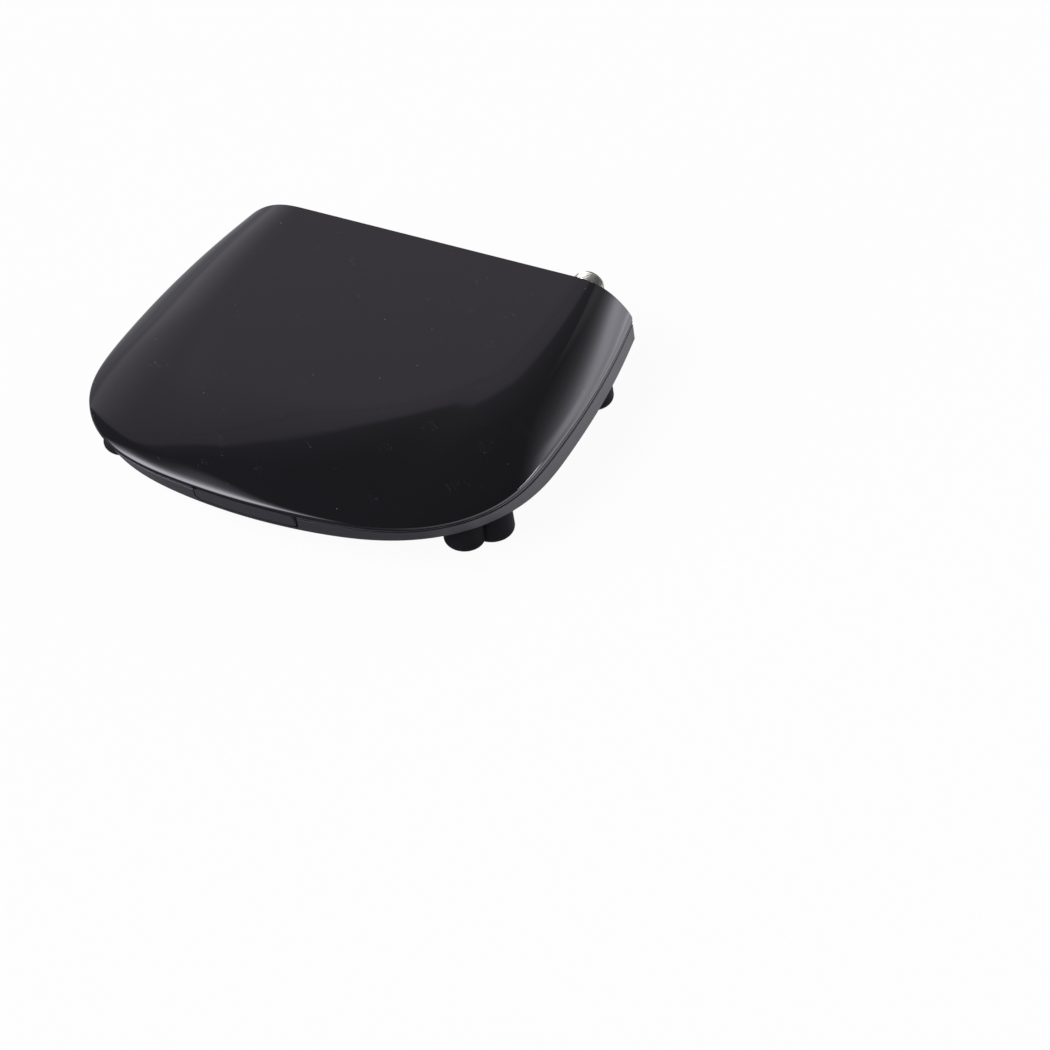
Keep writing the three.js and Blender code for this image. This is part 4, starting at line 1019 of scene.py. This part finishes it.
# Studio: a pale floor in a grey room with a dark side. A large soft box stands at the front left, and a
# long one, a pale panel and a strip lamp behind on the right. The camera looks down on the front right.
CAMERA_PLACE = (0.35434, -0.68454, 0.57585)
CAMERA_TILT = 38.6
CAMERA_TURN = 23.944
CAMERA_LENS = 121.646
DARK_SIDE = (0.702, -0.381, 0.602)
EDGE_ALONG = (-0.477, -0.879, 0)
ROOM_STOPS = (
    (0.0, (0.42, 0.39, 0.44)),
    (0.09, (0.46, 0.43, 0.48)),
    (0.13, (0.59, 0.56, 0.63)),
    (0.17, (0.71, 0.68, 0.76)),
    (0.25, (0.71, 0.68, 0.76)),
    (0.44, (0.62, 0.59, 0.66)),
    (0.58, (0.50, 0.47, 0.54)),
    (0.70, (0.47, 0.44, 0.51)),
    (0.712, (0.41, 0.38, 0.45)),
    (0.724, (0.46, 0.43, 0.50)),
    (0.785, (0.43, 0.40, 0.47)),
    (0.815, (0.21, 0.20, 0.22)),
    (1.0, (0.15, 0.15, 0.16)),
)
EDGE_CURVE = (
    (-1, 0), (-0.62, 0), (-0.58, 0.005), (-0.55, -0.01), (-0.5, -0.04), (-0.45, -0.045), (-0.4, -0.03),
    (-0.34, 0.01), (-0.28, 0.042), (-0.18, 0.074), (-0.09, 0.08), (0.02, 0.07), (0.08, 0.025),
    (0.13, -0.03), (0.15, -0.2), (0.17, -0.5), (0.19, -0.8), (1, -0.8),
)
LEFT_BOX = {
    "turn": -130, "rise": 28, "brightness": 9.2, "shift": (-0.04, 0.08), "shear": 0.25,
    "across": ((0, 1), (0.3, 1), (0.4, 0.8), (0.5, 0.4), (0.6, 0.15), (0.7, 0)),
    "up": ((0, 1), (0.26, 1), (0.34, 0.7), (0.4, 0.4), (0.48, 0.12), (0.6, 0)),
}
RIGHT_BOX = {
    "turn": 35, "rise": 8, "brightness": 3.0, "shift": (-0.25, 0), "shear": -0.2,
    "across": ((0, 1), (0.34, 1), (0.41, 0.6), (0.47, 0.3), (0.56, 0.06), (0.66, 0)),
    "up": (
        (0, 0.75), (0.056, 0.83), (0.12, 1), (0.17, 1), (0.206, 0.9), (0.25, 0.64), (0.31, 0.38),
        (0.36, 0.23), (0.436, 0.1), (0.52, 0.04), (0.62, 0),
    ),
}
PALE_PANEL = {
    "turn": 35, "rise": 8, "brightness": 0.2, "shift": (-0.75, 0), "shear": 0.15,
    "across": ((0, 1), (0.25, 1), (0.37, 0)),
    "up": ((0, 1), (0.802, 1), (0.812, 0)),
}
STRIP_LAMP = {
    "turn": 55, "rise": 9.5, "brightness": 15, "shift": (0, 0), "shear": 0,
    "across": ((0, 1), (0.1, 1), (0.14, 0)),
    "up": ((0, 1), (0.03, 1), (0.045, 0)),
}
BOX_TINT = (0.97, 0.955, 1.06)
FLOOR_HALF = 6
FLOOR_GREY = (0.62, 0.62, 0.62)
FLOOR_TINT = (0.98, 0.96, 1.05)
FLOOR_GLOW_SHARE = 0.95
FLOOR_REFLECTED = (0.34, 2.1)
FLOOR_REFLECTED_FROM = (0.045, 0.1)
LAMP_PLACE = (0.35, -0.75, 1.1)
LAMP_WIDTH = 0.7
LAMP_WATTS = 1.5


def dotted(tree, direction, along):
    inputs = {0: direction, 1: along}
    return fitted(tree, "ShaderNodeVectorMath", inputs, operation="DOT_PRODUCT").outputs["Value"]


def stepped(tree, value, stops):
    """The value run through stops of (place, colour or grey)."""
    ramp = tree.nodes.new("ShaderNodeValToRGB")
    elements = ramp.color_ramp.elements
    while len(elements) < len(stops):
        elements.new(0.5)
    for element, (place, colour) in zip(elements, stops):
        element.position = place
        element.color = (*colour, 1) if isinstance(colour, tuple) else (colour, colour, colour, 1)
    tree.links.new(value, ramp.inputs["Fac"])
    return ramp.outputs["Color"]


def soft_box(tree, direction, box):
    """How bright a box looks in each direction from the receiver. Its brightness falls off by the stops
    in across and up, which count from its middle, and the shear leans it over."""
    turn, rise = math.radians(box["turn"]), math.radians(box["rise"])
    ahead = (math.sin(turn) * math.cos(rise), math.cos(turn) * math.cos(rise), math.sin(rise))
    aside = (math.cos(turn), -math.sin(turn), 0)
    above = Vector(aside).cross(Vector(ahead))
    depth = worked(tree, "MAXIMUM", dotted(tree, direction, ahead), 0.01)
    across = worked(tree, "DIVIDE", dotted(tree, direction, aside), depth)
    up = worked(tree, "DIVIDE", dotted(tree, direction, above), depth)
    sheared = worked(tree, "MULTIPLY_ADD", across, -box["shear"], up)
    seen = box["brightness"]
    for place, shift, label in ((across, box["shift"][0], "across"), (sheared, box["shift"][1], "up")):
        away = worked(tree, "ABSOLUTE", worked(tree, "SUBTRACT", place, shift))
        seen = worked(tree, "MULTIPLY", seen, stepped(tree, away, box[label]))
    return seen


def light_the_room():
    world = bpy.data.worlds.new("studio_room")
    bpy.context.scene.world = world
    world.use_nodes = True
    tree = world.node_tree
    tree.nodes.clear()
    output = tree.nodes.new("ShaderNodeOutputWorld")
    direction = tree.nodes.new("ShaderNodeTexCoord").outputs["Generated"]
    along = spread(tree, dotted(tree, direction, EDGE_ALONG), 0, 1, start=-1)
    bend = tree.nodes.new("ShaderNodeFloatCurve")
    points = bend.mapping.curves[0].points
    while len(points) < len(EDGE_CURVE):
        points.new(0.5, 0.5)
    for point, (place, shift) in zip(points, EDGE_CURVE):
        point.location = ((place + 1) / 2, (shift + 1) / 2)
        point.handle_type = "AUTO_CLAMPED"
    bend.mapping.update()
    tree.links.new(along, bend.inputs["Value"])
    edge = worked(tree, "MULTIPLY_ADD", bend.outputs["Value"], 2, -1)
    side = worked(tree, "SUBTRACT", dotted(tree, direction, DARK_SIDE), edge)
    room = plain_light(tree)
    tree.links.new(stepped(tree, worked(tree, "ADD", side, 0.8), ROOM_STOPS), room.inputs["Color"])
    boxes = plain_light(tree, BOX_TINT)
    bright = 0
    for box in (LEFT_BOX, RIGHT_BOX, PALE_PANEL, STRIP_LAMP):
        bright = worked(tree, "ADD", bright, soft_box(tree, direction, box))
    tree.links.new(bright, boxes.inputs["Strength"])
    lights = {0: room.outputs["Background"], 1: boxes.outputs["Background"]}
    lit = fitted(tree, "ShaderNodeAddShader", lights).outputs["Shader"]
    camera_ray = tree.nodes.new("ShaderNodeLightPath").outputs["Is Camera Ray"]
    white = plain_light(tree).outputs["Background"]
    shown = fitted(tree, "ShaderNodeMixShader", {"Fac": camera_ray, 1: lit, 2: white})
    tree.links.new(shown.outputs["Shader"], output.inputs["Surface"])


def plain_light(tree, colour=(1, 1, 1)):
    light = tree.nodes.new("ShaderNodeBackground")
    light.inputs["Color"].default_value = (*colour, 1)
    return light


def lay_floor():
    bm = bmesh.new()
    bmesh.ops.create_grid(bm, x_segments=1, y_segments=1, size=FLOOR_HALF)
    mesh = bpy.data.meshes.new("floor")
    bm.to_mesh(mesh)
    bm.free()
    floor = put_in("floor", mesh)
    paint, tree, shader = new_finish("floor_paint")
    shader.inputs["Base Color"].default_value = (*FLOOR_GREY, 1)
    shader.inputs["Roughness"].default_value = 0.9
    shader.inputs["Specular IOR Level"].default_value = 0.1
    ray = tree.nodes.new("ShaderNodeLightPath").outputs
    share = worked(tree, "MULTIPLY", ray["Is Camera Ray"], FLOOR_GLOW_SHARE)
    glow = tree.nodes.new("ShaderNodeEmission").outputs["Emission"]
    inputs = {"Fac": share, 1: shader.outputs["BSDF"], 2: glow}
    lit = fitted(tree, "ShaderNodeMixShader", inputs).outputs["Shader"]
    place = object_place(tree)
    across = fitted(tree, "ShaderNodeSeparateXYZ", {"Vector": place}).outputs["X"]
    strength = spread(tree, across, *FLOOR_REFLECTED, *FLOOR_REFLECTED_FROM)
    inputs = {"Color": (*FLOOR_TINT, 1), "Strength": strength}
    mirrored = fitted(tree, "ShaderNodeEmission", inputs).outputs["Emission"]
    inputs = {"Fac": ray["Is Glossy Ray"], 1: lit, 2: mirrored}
    seen = fitted(tree, "ShaderNodeMixShader", inputs).outputs["Shader"]
    tree.links.new(seen, tree.nodes["Material Output"].inputs["Surface"])
    mesh.materials.append(paint)


def hang_soft_lamp():
    """A faint wide lamp in front, which the polished cover doesn't mirror."""
    data = bpy.data.lights.new("soft_lamp", "AREA")
    data.shape = "DISK"
    data.size = LAMP_WIDTH
    data.energy = LAMP_WATTS
    lamp = put_in("soft_lamp", data)
    lamp.location = LAMP_PLACE
    lamp.rotation_euler = Vector(lamp.location).to_track_quat("Z", "Y").to_euler()
    lamp.visible_glossy = False


def place_camera():
    data = bpy.data.cameras.new("camera")
    data.sensor_width = 36
    data.sensor_fit = "HORIZONTAL"
    data.lens = CAMERA_LENS
    camera = put_in("camera", data)
    camera.location = CAMERA_PLACE
    camera.rotation_euler = (math.radians(90 - CAMERA_TILT), 0, math.radians(CAMERA_TURN))
    bpy.context.scene.camera = camera


light_the_room()
lay_floor()
hang_soft_lamp()
place_camera()
bpy.context.scene.view_settings.view_transform = "Standard"

bpy.context.view_layer.update()
